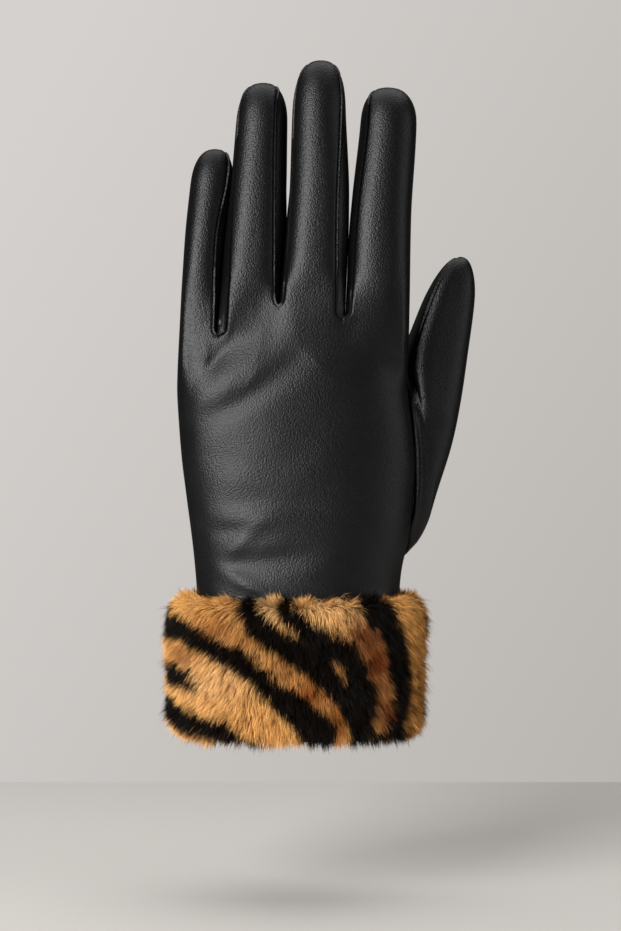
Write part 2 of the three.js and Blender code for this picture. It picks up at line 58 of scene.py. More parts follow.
# How square a finger's section is beside the slits, at its base and at its tip, and where the glove's outer sides are.
FINGER_SQUARE = {"slit": 8, "base": 3, "tip": 2.2, "outer": {"little": -1, "index": 1}}
SLIT_FADE = (-4, 20)  # over which the fingers grow round, up from their base
SLIT_BEND = 0.7  # power by which the rows of a slit's round end draw together towards its top
DOME_SQUARE = 2.5  # outline of a fingertip
PALM_SEAM = 0.8  # the palm-side seams lie this far out, as a share of a finger's half width
FOURCHETTE_END = 72  # degrees up the fingertip's dome, where the two seams beside a finger meet
SEAM_RUN_OUT = 5  # power of the way up the dome, by which those seams run out to the finger's side
# How the sides of a slit press together: by what share, over what height they open again, and the powers that place
# the middle of the press and narrow it.
PRESSED = {"share": 0.96, "fade": 14, "middle": 1.15, "narrow": 3}
SEAM_PULL = {"width": 0.34, "power": 3}  # share of a strip's width that the slit's closed end draws in
FOOT = (0.15, 0.7)  # fade over which a strip's foot slopes, in shares of its width
CROWDING = 0.78  # how much closer the columns lie beside a seam
WELD_STEPS = 500  # patches' points are one where they agree to a mm divided by this


def table(columns, *rows):
    """Rows of numbers under named columns."""
    return dict(zip(columns.split(), np.array(rows, float).T))


# Sections of the trank between the hem and the fingers.
PALM = table(
    "z left right back palm",
    (0, -33.5, 33.5, -20.5, 20.5),
    (48, -34.3, 34.6, -20, 20),
    (57, -35, 35.4, -19.6, 20),
    (68, -36, 37.8, -19, 20),
    (80, -37.7, 39.2, -18.3, 19.5),
    (92, -39.3, 40, -17.8, 18.5),
    (104, -40.2, 38.8, -17.3, 17),
    (118, -40.8, 37.2, -16.8, 15),
    (142, -40.1, 37.7, -14.5, 11.5),
)

# Sections of each finger: its centre, half width and half depth, and its back seams' places as shares of the half
# width. The dome of the tip starts at the third row, and the fourth row is the tip itself.
FINGER_COLUMNS = "z x half y deep seam_left seam_right"
FINGERS = [
    {"name": name, "sections": table(FINGER_COLUMNS, *rows)}
    for name, *rows in (
        (
            "little",
            (137.7, -33.9, 6.2, -0.2, 9.2, -1, 0.84),
            (168.3, -31.8, 6.6, 0.8, 7.8, -1, 0.61),
            (186.7, -29.6, 7.1, 3.2, 6.8, -1, 0.72),
            (199.4, -28.4, 6.9, 5, 6.3, -1, 0.8),
        ),
        (
            "ring",
            (140.4, -16.6, 9.8, -2, 10.5, -0.7, 0.86),
            (176.8, -13.9, 9.7, -0.5, 9.5, -0.84, 0.58),
            (207.4, -12.4, 8.8, 2.7, 8.2, -0.86, 0.5),
            (222, -11.9, 8.3, 4.8, 7.6, -0.9, 0.6),
        ),
        (
            "middle",
            (143.8, 4.8, 10.8, -2.7, 11.3, -0.87, 0.72),
            (181.9, 7.2, 10.2, -1.5, 10, -0.92, 0.57),
            (212.5, 7.2, 9.1, 1.8, 8.7, -0.9, 0.8),
            (229.5, 7.8, 8.4, 3.8, 8, -0.9, 0.85),
        ),
        (
            "index",
            (140.4, 27.1, 10.6, -2, 11, -0.88, 1),
            (176.8, 28.2, 10.3, -0.8, 9.8, -0.78, 1),
            (207.4, 30.8, 9.6, 2, 8.5, -0.73, 1),
            (220.3, 30.9, 9, 4, 8, -0.8, 1),
        ),
    )
]

# Height of each slit's end on the back and on the palm, and the height up to which its sides press together.
SLITS = [
    {"name": "fourchette_little_ring", "back": 134.6, "palm": 137, "closed": 196},
    {"name": "fourchette_ring_middle", "back": 144.6, "palm": 145.5, "closed": 186},
    {"name": "fourchette_middle_index", "back": 140.4, "palm": 142.5, "closed": 181},
]
OUTER_HEIGHT = {"little": 134, "index": 138}  # where the outer fingers begin at the glove's two edges
THUMB_HOLE = {"angle": 118, "half_angle": 35, "z": 91, "half_height": 30.5}

# Sections of the thumb past its hole, which is station 0: its inner and outer edge, the middle's y, the half depth,
# and the angle by which the depth turns from +Y towards -X. The last row is the tip.
THUMB = table(
    "station inner_x inner_z outer_x outer_z y deep turn",
    (1, 34, 122, 37.6, 62.5, 10, 13, 35),
    (2, 34.4, 123.2, 43.6, 78, 11.5, 13.1, 26),
    (3, 34.9, 124.6, 50.5, 97, 12, 12.4, 20),
    (4, 35.8, 127, 55.2, 114, 12, 11.4, 14),
    (5, 37.8, 133.5, 58.2, 131, 12, 10.2, 10),
    (6, 42.2, 145, 60.5, 147, 12, 9, 8),
    (7, 49.2, 162.5, 61.6, 164, 12, 8, 8),
)
THUMB_SQUARE = 3.3  # 2 is an ellipse, and more is squarer
# Fades along the thumb, in stations: where its columns spread evenly, its shape becomes the tube's, and its folds and
# its lean set in.
THUMB_FADE = {"even": (0, 3), "tube": (0, 1.6), "folds": (0, 1.5), "lean": (1, 2)}
THUMB_LEAN = 0.3  # how much the thumb's outer side lies further back than its inner side, per mm of width
THUMB_SEAM = (208, 219)  # angle round the thumb of its front seam, at its root and at its tip

# Folds and hollows of the back: the middle of each, the angle of its line, half its length and width, how its line
# bends, and its height.
FOLDS = table(
    "x z angle length width bend height",
    (-20.6, 134, 52, 14, 3.8, 0.007, -1.0),
    (-28.5, 125.5, 44, 6, 1.8, 0.01, -0.3),
    (-17.5, 123, 36, 20, 5.6, 0.005, 0.5),
    (-18, 113.2, 31, 20, 4.2, 0.004, -0.95),
    (-33.5, 130, 90, 22, 3.6, 0, 0.5),
    (-14, 87, -3, 17, 4, 0, 0.25),
    (-15, 79, -4, 16, 3, 0, -0.2),
    (-14, 73.5, 2, 16, 3.2, 0, 0.35),
    (-21, 69, -8, 13, 3.6, 0, -0.6),
    (-18.5, 66.4, 42, 9, 2.7, -0.006, 0.55),
    (-11, 59.6, 6, 18, 4.2, 0, -1.2),
    (-18.5, 52.5, -28, 11, 2.6, 0, 0.8),
    (26, 50.4, -14, 10, 3, 0, -0.5),
)
THUMB_FOLDS = table(
    "x z angle length width bend height",
    (44.5, 106, -43, 7, 3.4, 0, -0.2),
    (47, 111, -40, 8, 3.4, 0, 0.2),
)

# How the back and the palm settle between the fingers: the cell and the blur of their depth map, the fades by height
# where this sets in and ends, and the fade away from the thumb's hole.
SETTLE = {"cell": 0.8, "reach": 2.8, "low": (116, 12), "high": (162, -20), "clear": (3, 10)}
# What faces the front or the back: from which y on, how squarely for its depth to be averaged, and the fades by this
# for the settling and the folds.
FACING = {"past": -2, "averaged": 0.35, "settle": (0.3, 0.6), "folds": (0.1, 0.5)}
FOLD_START = (-4, 6)  # fade of the folds, up from the edge of the fur
FOLLOW = 8  # how far into a slit the fourchettes move with the back

# The leather beside a seam. The trank's edge rolls down. The other piece's edge is a bead at a distance and with a
# height that depend on its kind, with a groove at the seam. The thumb's wide bead has a shallow ditch past it and
# fades out towards the top of its hole. Spreads, reaches and places are shares of the bead's distance.
ROLL = {"width": 0.75, "drop": 0.6}
BEADS = {"bead": (0.5, 0.42), "wide_bead": (1.15, 0.8)}
BEAD_SPREAD = 0.55
GROOVE = {"depth": 0.75, "reach": 0.7, "power": 1.5}
DITCH = {"depth": 0.3, "place": 2.6, "spread": 0.5}
BEAD_FADE, BEAD_LEFT = (114, -16), 0.3
SPOTS_ON_EDGE = 5  # distances to a seam are measured to so many spots on each edge of the mesh
CREASE = {"depth": 0.45, "width": 0.42, "roll": 0.12, "roll_place": 1.1, "roll_width": 0.5, "fade": (0, 14)}

# The slack of soft leather, as waves: length, height and direction, and how much each bends. It is less where the
# leather is taut round the fingers.
WAVES = ((37, 0.09, (0.3, 0.5, 1)), (24, 0.035, (1, 0.3, -0.6)), (15, 0.015, (-0.7, 0.8, 0.9)))
WAVE_BEND = 3
SLACK = {"fingers": 0.35, "fade": (110, 30), "seam": (0, 6)}

# Counts of the grids' rows and columns.
STRIP_COLUMNS = 22
WRIST_ROWS = 14
PALM_ROWS = 84
SLIT_STEPS = 8
SHAFT_ROWS = 52
DOME_ROWS = 13
PANEL_COLUMNS = 18
THUMB_ROWS = 66
CUFF_TOP = 49.5  # the fur hides the leather up to here
SLIT_LEVEL = 140  # height that the palm's rows run to before they bend to the slits' ends
TRANK_ROWS = WRIST_ROWS + PALM_ROWS
FINGER_ROWS = SLIT_STEPS + SHAFT_ROWS + DOME_ROWS

# ---- the skin's sections


def smooth(value):
    """A ramp from 0 to 1 that is level at both ends: 3 t squared less 2 t cubed."""
    t = np.clip(value, 0, 1)
    return t * t * (3 - 2 * t)


def ramp(value, start_and_span):
    """The smooth ramp over a span from where it starts. It falls with the value where the span is negative."""
    start, span = start_and_span
    return smooth((value - start) / span)


def mix(a, b, t):
    """The value at a share t of the way from a to b."""
    return a + (b - a) * t


def bow(value, power):
    """A power of a number's size, with the number's sign."""
    return np.sign(value) * np.abs(value) ** power


def points(x, y, z):
    """An array of points from their coordinates, the last axis being x, y and z."""
    return np.stack(np.broadcast_arrays(x, y, z), -1).astype(float)


def read(sections, key, place):
    """Every column of a table at the given places: a cubic through the rows, whose slope at each row is that of
    the line between its neighbours. Past the ends it goes on straight."""
    at = sections[key]
    place = np.asarray(place, float)
    i = np.clip(np.searchsorted(at, place, "right") - 1, 0, len(at) - 2)
    span = at[i + 1] - at[i]
    t = (place - at[i]) / span
    inside = np.clip(t, 0, 1)
    low, high = np.minimum(t, 0) * span, np.maximum(t - 1, 0) * span
    last = len(at) - 1
    before, after = np.maximum(np.arange(last + 1) - 1, 0), np.minimum(np.arange(last + 1) + 1, last)
    found = {}
    for name, column in sections.items():
        if name == key:
            continue
        slope = (column[after] - column[before]) / (at[after] - at[before])
        found[name] = (
            column[i] * (1 + 2 * inside) * (1 - inside) ** 2
            + slope[i] * span * inside * (1 - inside) ** 2
            + column[i + 1] * inside**2 * (3 - 2 * inside)
            - slope[i + 1] * span * inside**2 * (1 - inside)
            + slope[i] * low
            + slope[i + 1] * high
        )
    return found


def middle_and_half(sections, low, high):
    """The middle between two edges, and half the width between them."""
    return (sections[low] + sections[high]) / 2, (sections[high] - sections[low]) / 2


def palm_point(angle, z):
    """The trank's section: an oval squarer than an ellipse, with the angle counted from the back over the thumb's
    side. x and y are the sine and cosine, each to the power 2 / PALM_SQUARE, scaled to the table's edges."""
    s = read(PALM, "z", z)
    power = 2 / PALM_SQUARE
    x, half = middle_and_half(s, "left", "right")
    y, deep = middle_and_half(s, "back", "palm")
    return points(x + half * bow(np.sin(angle), power), y - deep * bow(np.cos(angle), power), z)


def palm_angle(point, on_back):
    """The angle round the trank of a point at the slits' height: from its x alone where the trank faces front or
    back, and from its bearing at the sides."""
    s = read(PALM, "z", PALM["z"][-1])
    sides = middle_and_half(s, "left", "right"), middle_and_half(s, "back", "palm")
    x, y = ((point[..., axis] - middle) / half for axis, (middle, half) in enumerate(sides))
    flat = np.arcsin(bow(np.clip(x, -1, 1), PALM_SQUARE / 2))
    flat = flat if on_back else np.pi - flat
    bearing = np.arctan2(bow(x, PALM_SQUARE / 2), -bow(y, PALM_SQUARE / 2))
    bearing = bearing if on_back else np.where(bearing < 0, bearing + 2 * np.pi, bearing)
    return mix(flat, bearing, ramp(np.abs(x), PALM_SIDE))


def dome_start(finger):
    """Height of a finger's third section, where the dome of its tip starts."""
    return finger["sections"]["z"][2]


def tip_height(finger):
    """Height of a finger's last section."""
    return finger["sections"]["z"][3]


def dome(row):
    """How far up a tip's dome each of its rows lies, and the share of the section's size that is left there: the
    sine and cosine of a quarter turn, each to the power 2 / DOME_SQUARE."""
    turn = np.clip(row / DOME_ROWS, 0, 1) * np.pi / 2
    power = 2 / DOME_SQUARE
    return np.sin(turn) ** power, np.maximum(np.cos(turn), 0) ** power


def finger_square(finger, angle, z):
    """How square a finger's section is. Near the slits it is nearly a box, so that the back stays level between
    the fingers, except on the glove's outer sides."""
    base = finger["sections"]["z"][0]
    up = mix(FINGER_SQUARE["base"], FINGER_SQUARE["tip"], smooth((z - base) / (dome_start(finger) - base)))
    box = mix(FINGER_SQUARE["slit"], up, ramp(z - base, SLIT_FADE))
    outer = np.sign(np.sin(angle)) == FINGER_SQUARE["outer"].get(finger["name"], 0)
    return np.where(outer & (np.abs(np.sin(angle)) > 0), up, box)


def finger_point(finger, angle, z, shrink=1.0):
    """A finger's section, as the trank's, rounder towards the tip. shrink is 1 up the shaft and 0 at the tip."""
    s = read(finger["sections"], "z", z)
    power = 2 / finger_square(finger, angle, z)
    x = s["x"] + s["half"] * shrink * bow(np.sin(angle), power)
    y = s["y"] - s["deep"] * shrink * bow(np.cos(angle), power)
    return points(x, y, z)


def seam_angle(finger, side, on_back, z):
    """Where a finger's seam runs on its left (-1) or right (1). Over the tip it runs out to the finger's side."""
    s = read(finger["sections"], "z", np.maximum(z, finger["sections"]["z"][0]))
    share = np.abs(s["seam_left" if side < 0 else "seam_right"]) if on_back else PALM_SEAM
    from_crown = np.arcsin(np.minimum(share, 1) ** (finger_square(finger, side * 1.0, z) / 2))
    start = dome_start(finger)
    end = start + (tip_height(finger) - start) * np.sin(FOURCHETTE_END * DEG) ** (2 / DOME_SQUARE)
    from_back = from_crown if on_back else np.pi - from_crown
    rise = np.clip((z - start) / (end - start), 0, 1)
    return side * mix(from_back, np.pi / 2, rise**SEAM_RUN_OUT)


def slit_point(slit, side, share, z, shrink, opened):
    """One side of the slit between two fingers, at a share of the way from the back to the palm. Where opened is 0
    the two sides meet half way, and where it is 1 each lies on its own finger's side. Between the seams the sides
    press together up to the slit's closed height."""

    def wall(index, side_of_finger):
        """One finger's side, from its seam on the back to its seam on the palm."""
        finger = FINGERS[index]
        back = seam_angle(finger, side_of_finger, True, z)
        palm = seam_angle(finger, side_of_finger, False, z)
        return finger_point(finger, mix(back, palm, share), z, shrink)

    left, right = wall(slit, 1), wall(slit + 1, -1)
    between = np.sin(np.pi * np.clip(share, 0, 1) ** PRESSED["middle"]) ** PRESSED["narrow"]
    close = PRESSED["share"] * smooth((SLITS[slit]["closed"] - z) / PRESSED["fade"]) * between
    apart = np.asarray(opened) * (1 - close)
    return mix((left + right) / 2, left if side < 0 else right, apart[..., None])


def finger_row(finger, row, start):
    """Height, opening and shrinking of each row above a slit's end: a quarter circle up from the end, the shaft in
    even steps, then the tip's dome."""
    turn = np.clip(row / SLIT_STEPS, 0, 1) ** SLIT_BEND * np.pi / 2
    share = np.clip((row - SLIT_STEPS) / SHAFT_ROWS, 0, 1)
    shaft = mix(start + SLIT_RADIUS, dome_start(finger), share)
    z = np.where(row <= SLIT_STEPS, start + SLIT_RADIUS * (1 - np.cos(turn)), shaft)
    up, shrink = dome(row - SLIT_STEPS - SHAFT_ROWS)
    z = np.where(up > 0, mix(dome_start(finger), tip_height(finger), up), z)
    return z, np.sin(turn), shrink


def make_strips():
    """The trank's eight strips in the order in which they go round the glove, with the slit beside each edge."""
    strips = []
    for i, index in enumerate([0, 1, 2, 3, 3, 2, 1, 0]):
        on_back = i < 4

        def edge(direction):
            """The slit, the finger's side and the foot of the strip's edge in one direction."""
            side = direction if on_back else -direction
            slit = index - 1 if side < 0 else index
            outer = slit < 0 or slit > 2
            start = OUTER_HEIGHT[FINGERS[index]["name"]] if outer else SLITS[slit]["back" if on_back else "palm"]
            return {"slit": slit, "side": side, "outer": outer, "start": start}

        strips.append({"finger": FINGERS[index], "on_back": on_back, "from": edge(-1), "to": edge(1)})
    return strips


STRIPS = make_strips()


def edge_angle(strip, edge, z):
    """The angle round its finger of a strip's edge: that of the seam, or a quarter turn at the outer sides."""
    if edge["outer"]:
        on_near_side = strip["on_back"] or edge["side"] > 0
        return np.full_like(np.asarray(z, float), edge["side"] * np.pi / 2 if on_near_side else 1.5 * np.pi)
    angle = seam_angle(strip["finger"], edge["side"], strip["on_back"], z)
    return angle if strip["on_back"] else np.where(angle > 0, angle, angle + 2 * np.pi)


def strip_point(strip, share, z, shrink, opened):
    """A point of a finger's strip at a share of its width, drawn to the slit's closed end near its sewn edges."""
    a, b = edge_angle(strip, strip["from"], z), edge_angle(strip, strip["to"], z)
    point = finger_point(strip["finger"], mix(a, b, share), z, shrink)
    for edge, angle, away in ((strip["from"], a, share), (strip["to"], b, 1 - share)):
        if edge["outer"]:
            continue
        pull = np.maximum(1 - away / SEAM_PULL["width"], 0) ** SEAM_PULL["power"]
        own = finger_point(strip["finger"], angle, z, shrink)
        drawn = slit_point(edge["slit"], -edge["side"], 0 if strip["on_back"] else 1, z, shrink, opened)
        point = point + (drawn - own) * pull[..., None]
    return point


def fold_height(p, folds):
    """How far folds lift a surface: each is a bell, long along its line and narrow across it."""
    x, z = p[:, None, 0] - folds["x"], p[:, None, 2] - folds["z"]
    cos, sin = np.cos(folds["angle"] * DEG), np.sin(folds["angle"] * DEG)
    along = x * cos + z * sin
    across = z * cos - x * sin - folds["bend"] * along**2
    return (folds["height"] * np.exp(-((along / folds["length"]) ** 2) - (across / folds["width"]) ** 2)).sum(1)


def trank_point(strip, share, start, angle, z):
    """A point below the slits: the fingers' scallops fade into the palm's oval."""
    level = mix(strip["from"]["start"], strip["to"]["start"], share)
    weight = smooth((level - z) / KNUCKLE_FADE) * smooth((start - z) / START_FADE)
    one = np.ones_like(z)
    return mix(strip_point(strip, share, z, one, 0 * one), palm_point(angle, z), weight[..., None])


def crowded(count):
    """Shares from 0 to 1 that lie closer together at both ends, for the seams there."""
    t = np.arange(count) / count
    return t - CROWDING / (2 * np.pi) * np.sin(2 * np.pi * t)


def row_height(row, start):
    """Height of the palm's rows: level at the wrist, and bent to the slits' ends at the top."""
    wrist = row / WRIST_ROWS * PALM["z"][1]
    share = (row - WRIST_ROWS) / PALM_ROWS
    palm = mix(PALM["z"][1], SLIT_LEVEL, share) + (start - SLIT_LEVEL) * smooth(share)
    return np.where(row <= WRIST_ROWS, wrist, palm)


def start_height(strip, share):
    """Height at which a finger's strip leaves the palm, level beside each slit's end."""
    return mix(strip["from"]["start"], strip["to"]["start"], ramp(share, FOOT))


def make_columns():
    """Where the trank's columns run: the share of their strip's width, the height at which it ends and the angle
    round the palm."""
    columns = []
    for strip in STRIPS:
        share = crowded(STRIP_COLUMNS)
        start = start_height(strip, share)
        one = np.ones_like(share)
        point = strip_point(strip, share, start, one, 0 * one)
        columns.append({"share": share, "start": start, "angle": palm_angle(point, strip["on_back"])})
    return columns


COLUMNS = make_columns()
COLUMN_COUNT = STRIP_COLUMNS * len(STRIPS)


def nearest(values, wanted):
    """The number of the value that is nearest to the wanted one."""
    return int(np.abs(values - wanted).argmin())


# The square patch of the grid that is drawn out into the thumb hole.
EVEN_ANGLES = np.arange(COLUMN_COUNT) / COLUMN_COUNT * 360 - 90
ALL_HEIGHTS = row_height(np.arange(TRANK_ROWS + 1), SLIT_LEVEL)
HOLE = {
    "j0": nearest(EVEN_ANGLES, THUMB_HOLE["angle"] - THUMB_HOLE["half_angle"]),
    "j1": nearest(EVEN_ANGLES, THUMB_HOLE["angle"] + THUMB_HOLE["half_angle"]),
    "i0": nearest(ALL_HEIGHTS, THUMB_HOLE["z"] - THUMB_HOLE["half_height"]),
    "i1": nearest(ALL_HEIGHTS, THUMB_HOLE["z"] + THUMB_HOLE["half_height"]),
}


def hole_place(j, i):
    """Where a grid point lies round the hole: its square ring, 1 at the hole's edge, and its place on an oval."""
    p = (j - HOLE["j0"]) / ((HOLE["j1"] - HOLE["j0"]) / 2) - 1
    q = (i - HOLE["i0"]) / ((HOLE["i1"] - HOLE["i0"]) / 2) - 1
    ring = np.maximum(np.abs(p), np.abs(q))
    size = np.hypot(p, q)
    rounding = ring / np.where(size > 0, size, 1)
    return ring, p * rounding, q * rounding


def trank_grid():
    """The trank's tube as rows and columns of points, with the grid drawn out round the thumb hole."""
    row = np.arange(TRANK_ROWS + 1)[:, None]
    parts = []
    for k, (strip, column) in enumerate(zip(STRIPS, COLUMNS)):
        j = (k * STRIP_COLUMNS + np.arange(STRIP_COLUMNS))[None]
        share, start, angle = (column[name][None] for name in ("share", "start", "angle"))
        z = row_height(row, start)
        angle = mix(angle, EVEN_ANGLES[j] * DEG, smooth((start - z) / SPREAD_FADE))
        ring, across, up = hole_place(j, row)
        below, above = (row - WRIST_ROWS) / (HOLE["i0"] - WRIST_ROWS), (TRANK_ROWS - row) / (TRANK_ROWS - HOLE["i1"])
        weight = smooth(np.minimum(2 - ring, np.minimum(below, above)))
        hole_angle = (THUMB_HOLE["angle"] + THUMB_HOLE["half_angle"] * across) * DEG
        hole_z = THUMB_HOLE["z"] + THUMB_HOLE["half_height"] * up
        angle = mix(angle, hole_angle, weight)
        z = mix(z, hole_z, weight)
        parts.append(trank_point(strip, *np.broadcast_arrays(share, start, angle, z)))
    grid = np.concatenate(parts, 1)
    return np.concatenate([grid, grid[:, :1]], 1)


def strip_grid(strip):
    """One strip from the slits' ends to the fingertip."""
    share = np.append(crowded(STRIP_COLUMNS), 1)[None]
    row = np.arange(FINGER_ROWS + 1)[:, None]
    z, opened, shrink = finger_row(strip["finger"], row, start_height(strip, share))
    return strip_point(strip, *np.broadcast_arrays(share, z, shrink, opened))


def fourchette_grid(slit, side):
    """One side of a forked strip, from the slit's end up to the point at the fingertip."""
    finger = FINGERS[slit if side < 0 else slit + 1]
    share = np.append(crowded(PANEL_COLUMNS), 1)[None]
    if side > 0:
        share = share[:, ::-1]
    rows = SLIT_STEPS + SHAFT_ROWS + round(DOME_ROWS * FOURCHETTE_END / 90)
    start = mix(SLITS[slit]["back"], SLITS[slit]["palm"], share)
    z, opened, shrink = finger_row(finger, np.arange(rows + 1)[:, None], start)
    return slit_point(slit, side, *np.broadcast_arrays(share, z, shrink, opened))


THUMB_DOME, THUMB_TIP = THUMB["station"][-2], THUMB["station"][-1]


def thumb_grid(trank):
    """The thumb: columns leave the hole's edge, and take the tube's own shape over the first stations. Each
    station is an oval between its inner and outer edge, squarer than an ellipse by THUMB_SQUARE, whose depth turns
    as its table says."""
    j0, j1, i0, i1 = (HOLE[name] for name in ("j0", "j1", "i0", "i1"))
    places = [(j, i0) for j in range(j0, j1)] + [(j1, i) for i in range(i0, i1)]
    places += [(j, i1) for j in range(j1, j0, -1)] + [(j0, i) for i in range(i1, i0, -1)]
    j, i = np.array(places).T
    _, across, up = hole_place(j, i)
    turn = np.arctan2(across, -up)
    turn = np.where(turn < turn[0] - 1e-6, turn + 2 * np.pi, turn)
    even = turn[0] + np.arange(len(j)) / len(j) * 2 * np.pi
    row = np.arange(THUMB_ROWS + DOME_ROWS + 1)[:, None]
    rise, shrink = dome(row - THUMB_ROWS)
    station = np.where(row <= THUMB_ROWS, row / THUMB_ROWS * THUMB_DOME, mix(THUMB_DOME, THUMB_TIP, rise))
    s = read(THUMB, "station", station)
    angle = mix(turn[None], even[None], ramp(station, THUMB_FADE["even"]))
    power = 2 / THUMB_SQUARE
    out = bow(np.cos(angle), power) * shrink
    deep = bow(np.sin(angle), power) * shrink * s["deep"]
    lean = THUMB_LEAN * ramp(station, THUMB_FADE["lean"])
    (x, half_x), (z, half_z) = (middle_and_half(s, "inner_" + axis, "outer_" + axis) for axis in "xz")
    tube = points(
        x + half_x * out - deep * np.sin(s["turn"] * DEG),
        s["y"] + deep * np.cos(s["turn"] * DEG) + lean * half_x * out,
        z + half_z * out,
    )
    grid = mix(trank[i, j][None], tube, ramp(station, THUMB_FADE["tube"])[..., None])
    front = np.maximum(-np.sin(angle), 0) * ramp(station, THUMB_FADE["folds"])
    grid[..., 1] -= fold_height(grid.reshape(-1, 3), THUMB_FOLDS).reshape(front.shape) * front
    return np.concatenate([grid, grid[:, :1]], 1)


def thumb_seam(thumb):
    """The line of the thumb's front seam on its grid, from half way along it to the tip."""
    row = np.arange(THUMB_ROWS // 2, len(thumb))
    _, across, up = hole_place(HOLE["j0"], HOLE["i0"])
    first = np.arctan2(across, -up) / DEG
    turn = mix(*THUMB_SEAM, row / THUMB_ROWS)
    column = (turn - first) % 360 / 360 * (thumb.shape[1] - 1)
    low = column.astype(int)
    return mix(thumb[row, low], thumb[row, low + 1], (column - low)[:, None])


# ---- from grids to sewn pieces


def quads(grid, keep=None):
    """Corner numbers of a grid's four-sided faces, which face out when columns run right and rows run up."""
    rows, columns = grid.shape[:2]
    number = np.arange(rows * columns).reshape(rows, columns)
    faces = np.stack([number[:-1, :-1], number[:-1, 1:], number[1:, 1:], number[1:, :-1]], -1)
    return (faces[keep] if keep is not None else faces.reshape(-1, 4)).reshape(-1, 4)


def trank_keep():
    """Which faces of the palm's grid stay: all but those in the thumb's hole."""
    keep = np.ones((TRANK_ROWS, COLUMN_COUNT), bool)
    keep[HOLE["i0"] : HOLE["i1"], HOLE["j0"] : HOLE["j1"]] = False
    return keep


def weld_skin(patches):
    """Joins the patches' points that lie together. Each patch is (piece, grid, faces). Returns the points and each
    piece's faces."""
    everything = np.concatenate([grid.reshape(-1, 3) for _, grid, _ in patches])
    key = np.round(everything * WELD_STEPS).astype(np.int64)
    _, first, same = np.unique(key, axis=0, return_index=True, return_inverse=True)
    same = same.reshape(-1)
    faces, at = {}, 0
    for piece, grid, patch_faces in patches:
        faces.setdefault(piece, []).append(same[patch_faces + at])
        at += grid.size // 3
    return everything[first], {piece: np.concatenate(parts) for piece, parts in faces.items()}


def unit(vectors):
    """Vectors made one long."""
    size = np.linalg.norm(vectors, axis=-1, keepdims=True)
    return vectors / np.where(size > 0, size, 1)


def face_normals_at(count, skin, faces):
    """The sum of the neighbouring faces' normals at each point of the skin."""
    normal = np.cross(skin[faces[:, 2]] - skin[faces[:, 0]], skin[faces[:, 3]] - skin[faces[:, 1]])
    total = np.zeros((count, 3))
    for corner in range(4):
        np.add.at(total, faces[:, corner], normal)
    return total


def skin_normals(skin, faces):
    """The skin's outward directions, where each piece counts once beside a seam."""
    normal = np.zeros((len(skin), 3))
    for piece_faces in faces.values():
        normal += unit(face_normals_at(len(skin), skin, piece_faces))
    return unit(normal)


def settled_depth(p, weight):
    """Depth of a sheet stretched over the back or the palm: the mean depth in each cell of a grid, blurred with a
    bell and read between the cells."""
    cell, margin, fewest = SETTLE["cell"], 4, 0.05
    low = p[:, (0, 2)].min(0) - margin * cell
    place = (p[:, (0, 2)] - low) / cell
    size = np.ceil(place.max(0)).astype(int) + margin
    index = np.round(place).astype(int)
    flat = index[:, 0] * size[1] + index[:, 1]
    total = np.bincount(flat, weight * p[:, 1], size[0] * size[1])
    count = np.bincount(flat, weight, size[0] * size[1])
    known = count > fewest
    mean = np.where(known, total / np.where(known, count, 1), 0).reshape(size)
    known = known.reshape(size).astype(float)

    def blur(image):
        """The bell-weighted sum along both of a map's axes."""
        for axis in (0, 1):
            step = np.arange(image.shape[axis])
            bell = np.exp(-(((step[:, None] - step[None]) * cell / SETTLE["reach"]) ** 2) / 2)
            image = np.moveaxis(np.tensordot(bell, image, (1, axis)), 0, axis)
        return image

    sheet = blur(mean) / np.maximum(blur(known), 1e-9)
    i = np.minimum(place.astype(int), size - 2)
    t = place - i
    below = mix(sheet[i[:, 0], i[:, 1]], sheet[i[:, 0] + 1, i[:, 1]], t[:, 0])
    above = mix(sheet[i[:, 0], i[:, 1] + 1], sheet[i[:, 0] + 1, i[:, 1] + 1], t[:, 0])
    return mix(below, above, t[:, 1])


def nearest_spot(spots, points_there):
    """The number of the spot nearest to each point, and its distance."""
    number = np.empty(len(points_there), int)
    found = np.empty(len(points_there))
    at_a_time = 4000
    for first in range(0, len(points_there), at_a_time):
        some = slice(first, first + at_a_time)
        p = points_there[some]
        square = (p**2).sum(1)[:, None] + (spots**2).sum(1)[None] - 2 * p @ spots.T
        number[some] = square.argmin(1)
        found[some] = np.sqrt(np.maximum(square.min(1), 0))
    return number, found


def distance_to(spots, points_there):
    """Each point's distance to the nearest of the spots."""
    return nearest_spot(spots, points_there)[1]


def settle_leather(skin, faces):
    """Settles the back and the palm between the fingers and lays the back's folds on it. The fourchettes follow
    from their seams, by a share that fades to nothing within FOLLOW."""
    on_trank, on_thumb = np.zeros((2, len(skin)), bool)
    on_trank[faces["trank"]] = True
    on_thumb[faces["thumb"]] = True
    normal = skin_normals(skin, faces)
    height = skin[:, 2]
    clear = ramp(distance_to(skin[on_trank & on_thumb], skin), SETTLE["clear"])
    zone = ramp(height, SETTLE["low"]) * ramp(height, SETTLE["high"])
    moved = skin.copy()
    for side, free in ((-1, 1), (1, clear)):
        facing = side * normal[:, 1]
        here = on_trank * (side * skin[:, 1] > FACING["past"])
        level = ramp(facing, FACING["settle"]) * here * free
        averaged = (facing > FACING["averaged"]) * here
        moved[:, 1] = mix(moved[:, 1], settled_depth(skin, averaged), level * zone)
        if side < 0:
            folded = ramp(facing, FACING["folds"]) * here * ramp(height - CUFF_TOP, FOLD_START)
            moved[:, 1] -= fold_height(skin, FOLDS) * folded
    for slit in SLITS:
        used = np.unique(faces[slit["name"]])
        seam = used[on_trank[used]]
        rest = used[~on_trank[used]]
        number, away = nearest_spot(skin[seam], skin[rest])
        moved[rest, 1] += (moved - skin)[seam[number], 1] * smooth(1 - away / FOLLOW)
    return moved


